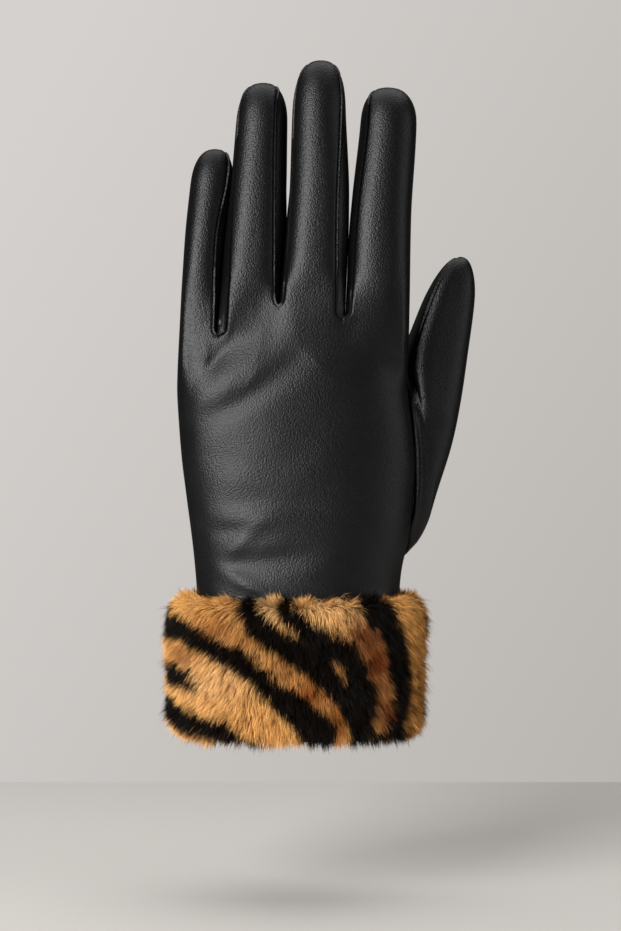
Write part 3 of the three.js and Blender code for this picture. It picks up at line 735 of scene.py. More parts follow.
def border_edges(faces):
    """Edges that one face alone has, as (from, to, a point of that face)."""
    edge = np.stack([np.roll(faces, -corner, 1) for corner in range(4)], -1).reshape(-1, 4)
    edge = edge[edge[:, 0] != edge[:, 1]]
    ends = np.sort(edge[:, :2], 1)
    key = ends[:, 0] * (faces.max() + 1) + ends[:, 1]
    _, index, count = np.unique(key, return_index=True, return_counts=True)
    alone = edge[index[count == 1]]
    inside = np.where(alone[:, 2] == alone[:, 1], alone[:, 3], alone[:, 2])
    return np.stack([alone[:, 0], alone[:, 1], inside], 1)


def way_along(line):
    """The distance along a line of points to each of them."""
    return np.concatenate([[0], np.cumsum(np.linalg.norm(np.diff(line, axis=0), axis=1))])


def fine_line(line, step=0.3):
    """A line of points again, at close, even steps."""
    way = way_along(line)
    even = np.linspace(0, way[-1], max(2, int(way[-1] / step)))
    return np.stack([np.interp(even, way, line[:, k]) for k in range(3)], -1)


def bell(away, place, spread):
    """A bell-shaped rise of height 1 at a place."""
    return np.exp(-(((away - place) / spread) ** 2))


def seam_profile(kind, away, height):
    """Rise of the leather beside a seam. The trank's edge rolls down on a quarter circle. The other piece's edge is
    a bell, the bead, less a groove that falls off as a power of the distance."""
    if kind == "roll":
        roll = np.clip(1 - away / ROLL["width"], 0, 1)
        return -ROLL["drop"] * (1 - np.sqrt(np.maximum(1 - roll**2, 0)))
    width, high = BEADS[kind]
    bead = high * bell(away, width, BEAD_SPREAD * width)
    groove = GROOVE["depth"] * np.clip(1 - away / (GROOVE["reach"] * width), 0, 1) ** GROOVE["power"]
    if kind == "bead":
        return bead - groove
    low = ramp(height, BEAD_FADE)
    ditch = DITCH["depth"] * bell(away, DITCH["place"] * width, DITCH["spread"] * width)
    return bead * mix(BEAD_LEFT, 1, low) - ditch * low - groove


def crease(away):
    """A sewn line within a piece: a groove between two low rolls, each a bell."""
    groove = CREASE["depth"] * bell(away, 0, CREASE["width"])
    return CREASE["roll"] * bell(away, CREASE["roll_place"], CREASE["roll_width"]) - groove


def waves(p):
    """The slack of soft leather: a few broad, shallow waves of different directions, each bent by another."""
    total = np.zeros(len(p))
    for length, height, direction in WAVES:
        way = np.array(direction) / np.linalg.norm(direction)
        total += height * np.sin(2 * np.pi * (p @ way) / length + WAVE_BEND * np.sin(p @ way[::-1] / length))
    return total


def leather_piece(skin, normal, faces, kind, slack, seam_points, crease_points):
    """Gives one piece of the skin its seams and thickness: an outer wall, an inner wall LEATHER below it, and the
    cut edge between them. Returns points, faces and which faces are the inner wall's."""
    used, faces = np.unique(faces, return_inverse=True)
    faces = faces.reshape(-1, 4)
    edges = border_edges(faces)
    p, n = skin[used], normal[used]
    sewn = np.isin(used, seam_points)[edges[:, :2]].all(1)
    run = unit(p[edges[:, 1]] - p[edges[:, 0]])
    inward = p[edges[:, 2]] - p[edges[:, 0]]
    inward = unit(inward - run * (inward * run).sum(1, keepdims=True))
    inward[~sewn] = 0
    inset = np.zeros_like(p)
    for end in (0, 1):
        np.add.at(inset, edges[:, end], inward)
    base = p + unit(inset) * SEAM_GAP / 2
    ends = edges[sewn]
    along = np.linspace(0, 1, SPOTS_ON_EDGE)[:, None, None]
    away = distance_to(mix(p[ends[:, 0]], p[ends[:, 1]], along).reshape(-1, 3), p)
    calm = mix(1, SLACK["fingers"], ramp(p[:, 2], SLACK["fade"]))
    height = seam_profile(kind, away, p[:, 2]) + slack * calm * waves(p) * ramp(away, SLACK["seam"])
    if len(crease_points):
        above_foot = p[:, 2] - crease_points[:, 2].min()
        height += crease(distance_to(crease_points, p)) * ramp(above_foot, CREASE["fade"])
    outer = base + n * height[:, None]
    inner = base - n * LEATHER
    count = len(p)
    rim = np.stack([edges[:, 1], edges[:, 0], edges[:, 0] + count, edges[:, 1] + count], 1)
    all_faces = np.concatenate([faces, faces[:, ::-1] + count, rim])
    inside = np.zeros(len(all_faces), int)
    inside[len(faces) :] = 1
    return np.concatenate([outer, inner]), all_faces, inside


def add_object(name, data):
    """An object in the scene for a mesh, a light or a camera."""
    obj = bpy.data.objects.new(name, data)
    bpy.context.scene.collection.objects.link(obj)
    return obj


def add_mesh(name, p, faces, materials, face_material=None, smooth_angle=50):
    """A mesh object from arrays in millimetres. A face with a corner named twice becomes a triangle."""
    doubled = faces == np.roll(faces, -1, 1)
    sizes = (~doubled).sum(1)
    good = sizes > 2
    loops = faces[good][~doubled[good]]
    sizes = sizes[good]
    mesh = bpy.data.meshes.new(name)
    mesh.vertices.add(len(p))
    mesh.vertices.foreach_set("co", (p * MM).astype(np.float32).ravel())
    mesh.loops.add(len(loops))
    mesh.loops.foreach_set("vertex_index", loops.astype(np.int32))
    mesh.polygons.add(len(sizes))
    mesh.polygons.foreach_set("loop_start", (np.cumsum(sizes) - sizes).astype(np.int32))
    for material in materials:
        mesh.materials.append(material)
    if face_material is not None:
        mesh.polygons.foreach_set("material_index", face_material[good].astype(np.int32))
    mesh.update(calc_edges=True)
    mesh.shade_smooth()
    if smooth_angle:
        mesh.set_sharp_from_angle(angle=smooth_angle * DEG)
    mesh.validate()
    return add_object(name, mesh)


def place_in_frame(obj, part):
    """Hides the frame's piece that an object replaces, and makes the object go with the one body."""
    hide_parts(part)
    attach(obj, "root")


# ---- materials


def linear(hex_colour):
    """An sRGB hex colour as linear light."""
    srgb = np.array([int(hex_colour[i : i + 2], 16) for i in (1, 3, 5)]) / 255
    light = np.where(srgb <= 0.04045, srgb / 12.92, ((srgb + 0.055) / 1.055) ** 2.4)
    return (*light.tolist(), 1.0)


def node(tree, kind, settings=None, **links):
    """Adds a node. settings are its properties, and links are values or outputs for its inputs by name."""
    made = tree.nodes.new(kind)
    for name, value in (settings or {}).items():
        setattr(made, name, value)
    for name, value in links.items():
        key = int(name[1:]) if name[0] == "_" and name[1:].isdigit() else name.replace("_", " ")
        socket = made.inputs[key]
        if isinstance(value, bpy.types.NodeSocket):
            tree.links.new(value, socket)
        else:
            socket.default_value = value
    return made


def new_material(name):
    """A material with an empty node tree."""
    material = bpy.data.materials.new(name)
    material.use_nodes = True
    tree = material.node_tree
    tree.nodes.clear()
    return material, tree


def polyurethane_leather():
    """Vegan leather: a polyurethane skin, cast on a knit and embossed with pebbles of about half a millimetre, a
    little coarser than in life, and finer pores. The skin is near black. Its grain breaks a soft light up into fine
    points, and a slow change in its gloss keeps broad surfaces from looking like plastic."""
    material, tree = new_material("cast_polyurethane_leather")
    place = node(tree, "ShaderNodeTexCoord").outputs["Object"]
    pebble = node(tree, "ShaderNodeTexVoronoi", Vector=place, Scale=1 / (0.56 * MM))
    pores = node(tree, "ShaderNodeTexNoise", Vector=place, Scale=1 / (0.45 * MM), Detail=1.0, Roughness=0.5)
    cloud = node(tree, "ShaderNodeTexNoise", Vector=place, Scale=1 / (14 * MM), Detail=2.0)
    height = node(tree, "ShaderNodeMath", {"operation": "MULTIPLY_ADD"}, _0=pores.outputs["Fac"], _1=0.25)
    tree.links.new(pebble.outputs["Distance"], height.inputs[2])
    bump = node(tree, "ShaderNodeBump", {"invert": True}, Strength=0.85, Distance=0.11 * MM, Height=height.outputs[0])
    rough = node(tree, "ShaderNodeMapRange", Value=cloud.outputs["Fac"], To_Min=0.33, To_Max=0.39)
    shader = node(
        tree,
        "ShaderNodeBsdfPrincipled",
        Base_Color=linear("#070708"),
        Roughness=rough.outputs["Result"],
        Normal=bump.outputs["Normal"],
        IOR=1.5,
        Specular_IOR_Level=0.25,
    )
    node(tree, "ShaderNodeOutputMaterial", Surface=shader.outputs[0])
    return material


def knitted_backing():
    """The inside of the leather: a polyester knit with loops about 0.6 mm wide, brushed to a short nap. It is dark
    grey and dull, and gives the eye a soft, deep opening with no highlight."""
    material, tree = new_material("brushed_knit_backing")
    place = node(tree, "ShaderNodeTexCoord").outputs["Object"]
    loops = node(tree, "ShaderNodeTexNoise", Vector=place, Scale=1 / (0.6 * MM), Detail=2.0)
    dark, light = linear("#141415"), linear("#2a2a2c")
    ramp = node(tree, "ShaderNodeMix", {"data_type": "RGBA"}, _0=loops.outputs["Fac"], _6=dark, _7=light)
    bump = node(tree, "ShaderNodeBump", Strength=0.5, Distance=0.15 * MM, Height=loops.outputs["Fac"])
    shader = node(
        tree,
        "ShaderNodeBsdfPrincipled",
        Base_Color=ramp.outputs[2],
        Roughness=0.9,
        Normal=bump.outputs["Normal"],
        Sheen_Weight=0.3,
        Sheen_Roughness=0.5,
    )
    node(tree, "ShaderNodeOutputMaterial", Surface=shader.outputs[0])
    return material


def modacrylic_fur():
    """Faux fur: spun modacrylic pile, sheared and then printed. Its colour is held in the mesh for each hair: the
    print, darkened towards the root as painted shade so that the pile looks deep, a little paler at the tip, with a
    faint gloss along the hairs."""
    material, tree = new_material("printed_modacrylic_pile")
    colour = node(tree, "ShaderNodeAttribute", {"attribute_name": "hair_colour_and_shade"})
    shader = node(
        tree,
        "ShaderNodeBsdfPrincipled",
        Base_Color=colour.outputs["Color"],
        Roughness=0.55,
        Specular_IOR_Level=0.08,
    )
    node(tree, "ShaderNodeOutputMaterial", Surface=shader.outputs[0])
    return material


# ---- the leather


def build_leather():
    """The five sewn pieces: grids, welded into one skin, settled and folded, then given their seams and walls."""
    trank = trank_grid()
    patches = [("trank", trank, quads(trank, trank_keep()))]
    strip_grids = [strip_grid(strip) for strip in STRIPS]
    patches += [("trank", grid, quads(grid)) for grid in strip_grids]
    for i, slit in enumerate(SLITS):
        for side in (-1, 1):
            grid = fourchette_grid(i, side)
            patches.append((slit["name"], grid, quads(grid)))
    thumb = thumb_grid(trank)
    patches.append(("thumb", thumb, quads(thumb)))
    skin, faces = weld_skin(patches)
    skin = settle_leather(skin, faces)
    normal = skin_normals(skin, faces)
    uses = np.zeros(len(skin), int)
    for piece_faces in faces.values():
        uses[np.unique(piece_faces)] += 1
    seam_points = np.flatnonzero(uses > 1)

    # Lines that are sewn within a piece: over the fingertips, down the little finger's side, and along the thumb.
    over_tips = []
    for strip, grid in zip(STRIPS, strip_grids):
        for column, edge in ((0, strip["from"]), (-1, strip["to"])):
            if strip["on_back"] and not (edge["outer"] and strip["finger"]["name"] == "index"):
                first = 0 if edge["outer"] else SLIT_STEPS + SHAFT_ROWS + DOME_ROWS // 2
                over_tips.append(fine_line(grid[first:, column]))
    over_tips.append(fine_line(trank[:, 0]))
    creases = {"trank": np.concatenate(over_tips), "thumb": fine_line(thumb_seam(thumb))}

    leather = polyurethane_leather()
    inside = knitted_backing()
    kinds = {"trank": ("roll", 1), "thumb": ("wide_bead", 1)}
    for name, piece_faces in faces.items():
        kind, slack = kinds.get(name, ("bead", 0))
        lines = creases.get(name, np.zeros((0, 3)))
        p, f, inner = leather_piece(skin, normal, piece_faces, kind, slack, seam_points, lines)
        place_in_frame(add_mesh("leather_" + name, p, f, [leather, inside], inner), name)


build_leather()

# ---- the fur cuff

# How far the fur stands out at the left, at the right and at the back and the palm, and its gap to the leather.
CUFF = {"left": 11.6, "right": 9.8, "depth": 10.5, "clearance": 0.35}
PILE = 5.0  # how far the fur stands out from its backing
PAD = {"bottom": 4.4, "top": 44.8, "edge": 150}  # the backing's edges, and how far round each the pile grows
RING = {"level": 25.0, "steps": 1441, "chord": 1.5}  # height and steps of the oval round it, and of its tangents
FUR_PIECES = 4
HAIRS_EACH = 38500
HAIR_POINTS = 7
SEEDS = {"tufts": 7, "tuft_spread": 8, "hairs": 100}

# A hair's length and its widths along it, how far it keeps off the leather and how deep its root stands in the
# backing, then the ranges of lengths, of lifts in degrees and of widths as a share. Hairs are drawn three to four
# times as wide as a fibre of the real pile, and each stands for a few.
HAIR = {"length": 6.2, "root": 0.16, "middle": 0.19, "end": 0.12, "clearance": 0.3, "sunk": 0.4}
LENGTHS, STEEPNESS, WIDTHS = (3.2, 9.5), (4, 80), (0.75, 1.2)
LIFTS = np.array([64, 42, 25]) * DEG  # how steeply each third of a hair stands
PULLS = (0.04, 0.07, 0.1)  # how far each third is drawn to the middle of its tuft
SPREAD = {"yaw": (6, 8), "length": (0.1, 0.13), "lift": (6, 7)}  # how much hairs differ, by tuft and by hair
TWIST = 32  # spread of the turn of a hair's flat side, in degrees
GUARD = {"share": 0.05, "longer": 1.2, "lift": 8, "shade": 0.4}  # the few long, dark guard hairs
CLUMP = 2.6  # spacing of the tufts
TUFT_KINDS, TUFT_STEP = 997, (73, 179)  # how many tufts differ, and how their numbers run on a grid

# How the fur lies: down and sideways by a share that goes round as a sine, and past the parting near the upper edge
# upwards and out. Strays are noises as size, seed and amount.
LIE = {"sideways": 0.55, "stray": (16, 11, 0.2)}
PARTING = {"z": 42.5, "height": 4.5, "wave": (9, 13, 0.9), "shorter": 0.34}
PAST_PARTING = {"up": 0.8, "out": 0.35, "sideways": 0.5, "stray": (7, 12, 0.35)}

# How hairs show the print: where along a hair its place is read and how much that strays, how much shades differ, a
# hair's painted shade towards its root and its paler tip, and the painted shade of the backing under it.
SEEN = {"reach": 0.38, "stray": 0.55, "shades": 0.2, "range": (0.5, 1.6), "backing": 0.4}
ROOT_SHADE_AND_PALE_TIPS = (0.3, 0.3, 0.75, 0.75, 1.0, 1.0, 1.22)
PRINT_NOISE = {"shade": ((9, 3, 0.12), (3.5, 4, 0.06)), "edge": ((5, 5, 0.55), (2.2, 6, 0.3))}
STRIPE_EDGE = {"wider": 0.7, "soft": 1.3}
NOISE = {"waves": 5, "sizes": (0.7, 1.5), "bend_sizes": (1.2, 2), "bend": 1.3, "size": 3}
LAYOUT = {"size": 0.97, "margin": 0.01, "hair": 0.0016}  # the flat layout, in which each hair has its own spot

# Stripes: places on the unrolled cuff, round from the middle of the back over the thumb's side, up from the hem,
# and half the stripe's width there.
STRIPES = [
    [(-92, 50, 2.4), (-84, 44, 2.6), (-75, 40.5, 2.8), (-66, 38.6, 3), (-59, 37.4, 3.4), (-50, 36.9, 3.3),
     (-42, 36.4, 3.1), (-36, 34.5, 2.9), (-30, 31.9, 3), (-25, 29.8, 2.9), (-20, 27.6, 2.7), (-15.4, 23.9, 2.7),
     (-10.4, 19.6, 2.8), (-5, 15.4, 3.5), (0.4, 11, 4.6), (4.8, 7.1, 5.1), (8.4, 4.6, 4.5)],
    [(6, 31.5, 1), (9, 29.8, 1.8), (12, 28.5, 1.2)],
    [(-60, 23, 2), (-54, 22, 2.7), (-46, 21.2, 2.9), (-40.5, 20, 2.2), (-37.5, 18.8, 1.2)],
    [(-124, 47, 2.8), (-118, 41, 3.2), (-110, 35, 3.4), (-101, 31, 3), (-92, 29, 3.2), (-83, 25, 3),
     (-74, 20, 2.6), (-66, 15, 2.8), (-59, 11.5, 3.6), (-50, 8.8, 3.9), (-42, 6.9, 3.4), (-34.4, 6, 2.9),
     (-28, 5.2, 2.3), (-23, 3.4, 1.6), (-17, 1.6, 0.8), (-12, 0.6, 0.4)],
    [(-20.6, 49.5, 2.6), (-18.4, 44.5, 2.1), (-15.2, 40, 2.6), (-9.6, 35.4, 3.3), (-4, 32.1, 4), (1.1, 29.3, 4.3),
     (6, 26, 4.2), (10.2, 21.1, 3.4), (15.4, 16, 3.4), (19.4, 10.5, 3.6), (22, 5, 3.6), (22.4, 2.4, 3)],
    [(-6, 43.4, 1.1), (-2, 40.6, 1.8), (3.5, 37, 2.4), (10, 33.5, 3.2), (15.5, 30.4, 3.3), (19.3, 26, 3.2),
     (20.8, 20.5, 3.6), (22.6, 15.4, 4.4), (22.6, 9, 3.4), (22.4, 4, 3)],
    [(25, 49.5, 4), (26.5, 44.5, 4.9), (31, 38.7, 4.3), (34, 34, 4.2), (35.9, 28, 4.5), (36.9, 22, 4.7),
     (37.9, 15.5, 3.4), (37.4, 10, 2.7), (35.4, 5.6, 2.8), (31, 2.6, 1.8), (26, 1.4, 1.2)],
    [(36, 4, 1.6), (41, 1.6, 1.6), (46, 1.8, 1.2)],
    [(50, 47, 1.1), (53.5, 42.5, 1.6), (56.4, 37, 1.7), (57.4, 31, 1)],
    [(56.5, 10, 1), (58.5, 7.6, 1.8), (61, 5, 1)],
    [(-41, 49.5, 1.2), (-38.6, 47.6, 1.5), (-36, 47, 0.8)],
    [(-70, 2, 2.4), (-80, 8, 3), (-90, 13, 3.4), (-99, 15, 3), (-108, 13, 2)],
    [(121, 2, 3), (112, 9, 3.4), (104, 16, 3.2), (98, 24, 3.4), (93, 33, 3), (90, 42, 3.2), (88, 50, 2.6)],
    [(108, 46, 2.2), (104, 39, 2.6), (106, 31, 2.4), (112, 26, 2.2), (119, 21, 2.4), (126, 19, 1.8)],
    [(84, -1, 3.4), (82, 8, 3.4), (79, 16, 3), (77, 25, 2.6), (72, 33, 2.8), (68, 41, 2.4), (66, 50, 2)],
    [(66, 0, 2), (67, 9, 2.4), (65, 16, 2), (63, 22, 1.2)],
    [(-90, 49, 1.8), (-96, 42, 2.4), (-103, 44, 1.6)],
    [(-111, 2, 3), (-118, 7, 2.6), (-126, 9, 1.8)],
]

# Tinted patches: place round and up, half width, half height, strength, and the tint. The gold is darkened partly as
# painted shade, for the shade on the glove's right side, where most of its patches lie.
TINTS = [
    (27, 27, 10, 12, 1, "umber"), (22, 36, 6, 5, 1, "umber"), (32, 10, 8, 9, 1, "umber"),
    (-29, 38, 9, 4, 0.7, "rust"), (46, 12, 9, 9, 0.7, "umber"), (-16, 33, 7, 5, 0.5, "rust"),
    (-5, 25, 7, 5, 0.7, "rust"), (13, 24, 4, 4, 0.7, "umber"), (4, 17, 7, 6, 1, "rust"),
    (13, 8, 5, 7, 1, "rust"), (-43, 28, 8, 4, 0.8, "rust"), (100, 8, 8, 6, 0.6, "rust"),
    (75, 30, 8, 8, 0.5, "rust"), (-80, 33, 10, 5, 0.7, "rust"), (-105, 22, 8, 5, 0.6, "rust"),
    (-120, 28, 6, 6, 0.5, "rust"), (114, 36, 7, 6, 0.5, "rust"), (8, 45, 13, 6, 0.4, "pale"),
    (-11, 43, 5, 5, 0.6, "pale"), (-30, 20, 16, 8, 0.4, "pale"), (90, 20, 6, 8, 0.4, "pale"),
    (-95, 38, 8, 5, 0.4, "pale"), (-115, 18, 6, 4, 0.4, "pale"), (48, 25, 9, 26, 0.75, "gold_and_side_shade"),
    (-52, 46, 12, 6, 0.5, "gold_and_side_shade"), (60, 30, 6, 16, 0.5, "gold_and_side_shade"),
]
FUR_COLOURS = {
    "tan": "#d89f5a",
    "pale": "#ecc690",
    "rust": "#8a4919",
    # darker than the fur's own gold: partly painted shade of the glove's right side
    "gold_and_side_shade": "#ab7638",
    "umber": "#62290e",
    "black": "#0a0502",
}


def turned_left(run):
    """A level direction turned left by a quarter: its x becomes its y, and its y its x the other way."""
    return np.stack([-run[..., 1], run[..., 0], 0 * run[..., 0]], -1)


def cuff_depth(normal):
    """How far the fur stands out: the depth at the back and the palm, turning to that of each side by the square
    of the direction's x."""
    side = np.where(normal[..., 0] < 0, CUFF["left"], CUFF["right"])
    return mix(CUFF["depth"], side, normal[..., 0] ** 2)


def ring_table():
    """The oval that the fur's outer face follows, as the angle and the way round at close steps."""
    angle = np.linspace(-np.pi, np.pi, RING["steps"])
    p = palm_point(angle, RING["level"])
    normal = unit(-turned_left(np.gradient(p, axis=0)))
    outer = p + normal * cuff_depth(normal)[:, None]
    way = way_along(outer)
    return angle, way - way[len(way) // 2]


RING_ANGLE, RING_WAY = ring_table()
ROUND = RING_WAY[-1] - RING_WAY[0]


def wrist(way, z):
    """A point of the leather under the cuff, and the direction out from it, square to a chord between two points
    beside it. way is the distance round."""

    def at(shift):
        """The leather's point so much further round."""
        wrapped = (way + shift - RING_WAY[0]) % ROUND + RING_WAY[0]
        return palm_point(np.interp(wrapped, RING_WAY, RING_ANGLE), z)

    return at(0), unit(turned_left(at(-RING["chord"]) - at(RING["chord"])))


def pad_point(way, turn, height):
    """The backing's outer face: a flat band with half round edges. turn is the angle round an edge, from -180 to 0
    at the bottom and 0 to 180 at the top, and height the share of the way up. Returns the point, the direction out
    from the band's face and the direction out from the wrist."""
    _, outward = wrist(way, RING["level"])
    radius = (cuff_depth(outward) - PILE) / 2
    z = mix(PAD["bottom"] + radius, PAD["top"] - radius, height) + radius * np.sin(turn)
    leather, outward = wrist(way, z)
    out = CUFF["clearance"] + radius * (1 + np.cos(turn))
    normal = outward * np.cos(turn)[..., None] + np.array([0, 0, 1]) * np.sin(turn)[..., None]
    return leather + outward * out[..., None], normal, outward


def noise_at(p, size, seed):
    """Smooth noise between about -1 and 1: a sum of waves in five directions that bend each other."""
    turn = np.random.default_rng(seed)
    total = 0
    for _ in range(NOISE["waves"]):
        way, bend = (
            unit(turn.normal(size=p.shape[-1])) * 2 * np.pi / (size * turn.uniform(*NOISE[sizes]))
            for sizes in ("sizes", "bend_sizes")
        )
        first = turn.uniform(0, 6)
        total = total + np.sin(p @ way + first + NOISE["bend"] * np.sin(p @ bend + turn.uniform(0, 6)))
    return total / NOISE["size"]


def mottle(p, layers):
    """A sum of noises, each as size, seed and amount."""
    return sum(amount * noise_at(p, size, seed) for size, seed, amount in layers)


def stripe_depth(way, z):
    """How far inside the nearest stripe a place lies, in mm: each stripe is a line whose half width changes
    evenly from one of its points to the next."""
    best = np.full(way.shape, -np.inf)
    for stripe in STRIPES:
        for a, b in zip(np.array(stripe[:-1], float), np.array(stripe[1:], float)):
            x = (way - (a[0] + b[0]) / 2 + ROUND / 2) % ROUND - ROUND / 2 + (b[0] - a[0]) / 2
            dx, dz = b[0] - a[0], b[1] - a[1]
            t = np.clip((x * dx + (z - a[1]) * dz) / (dx * dx + dz * dz), 0, 1)
            best = np.maximum(best, a[2] + (b[2] - a[2]) * t - np.hypot(x - dx * t, z - a[1] - dz * t))
    return best


def fur_colour(way, z):
    """The print: tan, mixed with each tinted patch by a bell over its place, under black-brown stripes whose edges
    waver and fade over a short way."""
    colour = {name: np.array(linear(value)[:3]) for name, value in FUR_COLOURS.items()}
    place = np.stack([way, z], -1)
    shade = np.broadcast_to(colour["tan"], way.shape + (3,)).copy()
    for across, up, wide, high, strength, tint in TINTS:
        x = (way - across + ROUND / 2) % ROUND - ROUND / 2
        amount = strength * np.exp(-((x / wide) ** 2) - ((z - up) / high) ** 2)
        shade = mix(shade, colour[tint], amount[..., None])
    shade = shade * (1 + mottle(place, PRINT_NOISE["shade"]))[..., None]
    inside = stripe_depth(way, z) + mottle(place, PRINT_NOISE["edge"]) + STRIPE_EDGE["wider"]
    return mix(shade, colour["black"], smooth(inside / STRIPE_EDGE["soft"] + 0.5)[..., None])


def nearest_tuft(way, along):
    """The middle of the tuft that each hair belongs to, and the tuft's number: the nearest of one jittered point
    in each cell of a grid."""
    column, row = np.floor(way / CLUMP), np.floor(along / CLUMP)
    best = np.full(way.shape, np.inf)
    found = np.zeros(way.shape + (2,))
    number = np.zeros(way.shape, int)
    jitter = np.random.default_rng(SEEDS["tufts"]).random((TUFT_KINDS, 2))
    for i in (-1, 0, 1):
        for j in (-1, 0, 1):
            c, r = column + i, row + j
            n = (c * TUFT_STEP[0] + r * TUFT_STEP[1]).astype(int) % TUFT_KINDS
            centre = np.stack([(c + jitter[n, 0]) * CLUMP, (r + jitter[n, 1]) * CLUMP], -1)
            far = np.hypot(centre[..., 0] - way, centre[..., 1] - along)
            nearer = far < best
            best = np.where(nearer, far, best)
            found = np.where(nearer[..., None], centre, found)
            number = np.where(nearer, n, number)
    return found, number


# Over the backing's face: the radius and the arc of each edge, the straight between them, and the whole way.
PAD_RADIUS = (CUFF["depth"] - PILE) / 2
PAD_ARC = PAD_RADIUS * PAD["edge"] * DEG
PAD_FLAT = PAD["top"] - PAD["bottom"] - 2 * PAD_RADIUS
PAD_WAY = 2 * PAD_ARC + PAD_FLAT


def pad_place(along):
    """Turn and height on the backing for a distance along its face, from the inner lower edge over the outer face
    to the inner upper edge: an arc, a straight, and an arc."""
    edge = PAD["edge"] * DEG
    turn = np.clip(along / PAD_RADIUS - edge, -edge, 0) + np.clip((along - PAD_ARC - PAD_FLAT) / PAD_RADIUS, 0, edge)
    return turn, np.clip((along - PAD_ARC) / PAD_FLAT, 0, 1)


def comb(way, p, outward):
    """The direction in which the fur lies: down, and away from the middle of the back, but up and outwards along
    the upper edge."""
    side = turned_left(outward)
    up = np.array([0, 0, 1.0])
    lean = LIE["sideways"] * np.sin(2 * np.pi * way / ROUND) + mottle(p, [LIE["stray"]])
    down = side * lean[..., None] - up
    sideways = PAST_PARTING["sideways"] * lean + mottle(p, [PAST_PARTING["stray"]])
    rise = side * sideways[..., None] + up * PAST_PARTING["up"] + outward * PAST_PARTING["out"]
    part = smooth((p[..., 2] - PARTING["z"] - mottle(p, [PARTING["wave"]])) / PARTING["height"])
    return unit(mix(down, rise, part[..., None])), part


def clear_of_leather(way, path):
    """Moves the points of hairs outwards, to lie at least HAIR's clearance off the leather."""
    leather, outward = wrist(np.broadcast_to(way[:, None], path.shape[:2]), path[..., 2])
    gap = ((path - leather) * outward).sum(-1, keepdims=True)
    return path + outward * np.maximum(HAIR["clearance"] - gap, 0)


def grow_hairs(way, along, draw):
    """Flat, tapered hairs in thirds, as three pairs of points and a tip. Each third leaves the one before at its own
    lift, which is less towards the tip, and is drawn towards the middle of the hair's tuft."""
    root, normal, outward = pad_point(way, *pad_place(along))
    flow, part = comb(way, root, outward)
    tuft, number = nearest_tuft(way, along)
    middle, _, _ = pad_point(tuft[..., 0], *pad_place(tuft[..., 1]))
    own = np.random.default_rng(SEEDS["tuft_spread"]).normal(size=(TUFT_KINDS, len(SPREAD)))[number]
    count = len(way)

    def spread(kind):
        """How a hair differs: a part that its whole tuft shares, and a part of its own."""
        by_tuft, by_hair = SPREAD[kind]
        return by_tuft * own[:, list(SPREAD).index(kind)] + by_hair * draw.normal(size=count)

    yaw = spread("yaw") * DEG
    flow = unit(flow * np.cos(yaw)[:, None] + unit(np.cross(flow, normal)) * np.sin(yaw)[:, None])
    length = HAIR["length"] * (1 + spread("length")) * (1 - PARTING["shorter"] * part)
    guard = draw.random(count) < GUARD["share"]
    length = np.clip(np.where(guard, length * GUARD["longer"], length), *LENGTHS)
    lift = (spread("lift") + np.where(guard, GUARD["lift"], 0)) * DEG
    low, high = np.array(STEEPNESS) * DEG
    path = [root - normal * HAIR["sunk"]]
    for base, pull in zip(LIFTS, PULLS):
        angle = np.clip(base + lift, low, high)[:, None]
        way_on = unit(flow * np.cos(angle) + normal * np.sin(angle))
        path.append(path[-1] + way_on * (length / len(LIFTS))[:, None] + (middle - root) * pull)
    path = clear_of_leather(way, np.stack(path, 1))
    run = unit(np.gradient(path, axis=1))
    twist = (draw.normal(size=count) * TWIST * DEG)[:, None, None]
    flat = unit(np.cross(run, normal[:, None] + 0.001))
    edge = unit(flat * np.cos(twist) + np.cross(run, flat) * np.sin(twist))
    wide = np.array([HAIR["root"], HAIR["middle"], HAIR["end"]]) / 2 * draw.uniform(*WIDTHS, count)[:, None]
    left = path[:, :3] - edge[:, :3] * wide[..., None]
    right = path[:, :3] + edge[:, :3] * wide[..., None]
    hairs = np.concatenate([np.stack([left, right], 2).reshape(count, HAIR_POINTS - 1, 3), path[:, 3:]], 1)

    reach = length * SEEN["reach"]
    across = (flow * turned_left(outward)).sum(1)
    stray = draw.normal(size=(2, count)) * SEEN["stray"]
    shade = fur_colour(way + across * reach + stray[0], root[:, 2] + flow[:, 2] * reach + stray[1])
    lightness = (1 + SEEN["shades"] * draw.normal(size=count)).clip(*SEEN["range"])
    shade = shade * (lightness * np.where(guard, GUARD["shade"], 1))[:, None]
    # The print darkens towards each hair's root as painted shade deep in the pile, and pales a little at the tip.
    colours = np.concatenate([shade[:, None] * np.array(ROOT_SHADE_AND_PALE_TIPS)[None, :, None], np.ones((count, HAIR_POINTS, 1))], -1)
    return hairs, np.clip(colours, 0, 1)


def paint(obj, rgba):
    """Stores a colour for each point of a mesh."""
    layer = obj.data.attributes.new("hair_colour_and_shade", "FLOAT_COLOR", "POINT")
    layer.data.foreach_set("color", rgba.astype(np.float32).ravel())


def lay_out(obj, uv):
    """Stores a flat layout from one place a point."""
    corner = np.empty(len(obj.data.loops), np.int32)
    obj.data.loops.foreach_get("vertex_index", corner)
    obj.data.uv_layers.new(name="OFBake").data.foreach_set("uv", uv[corner].astype(np.float32).ravel())


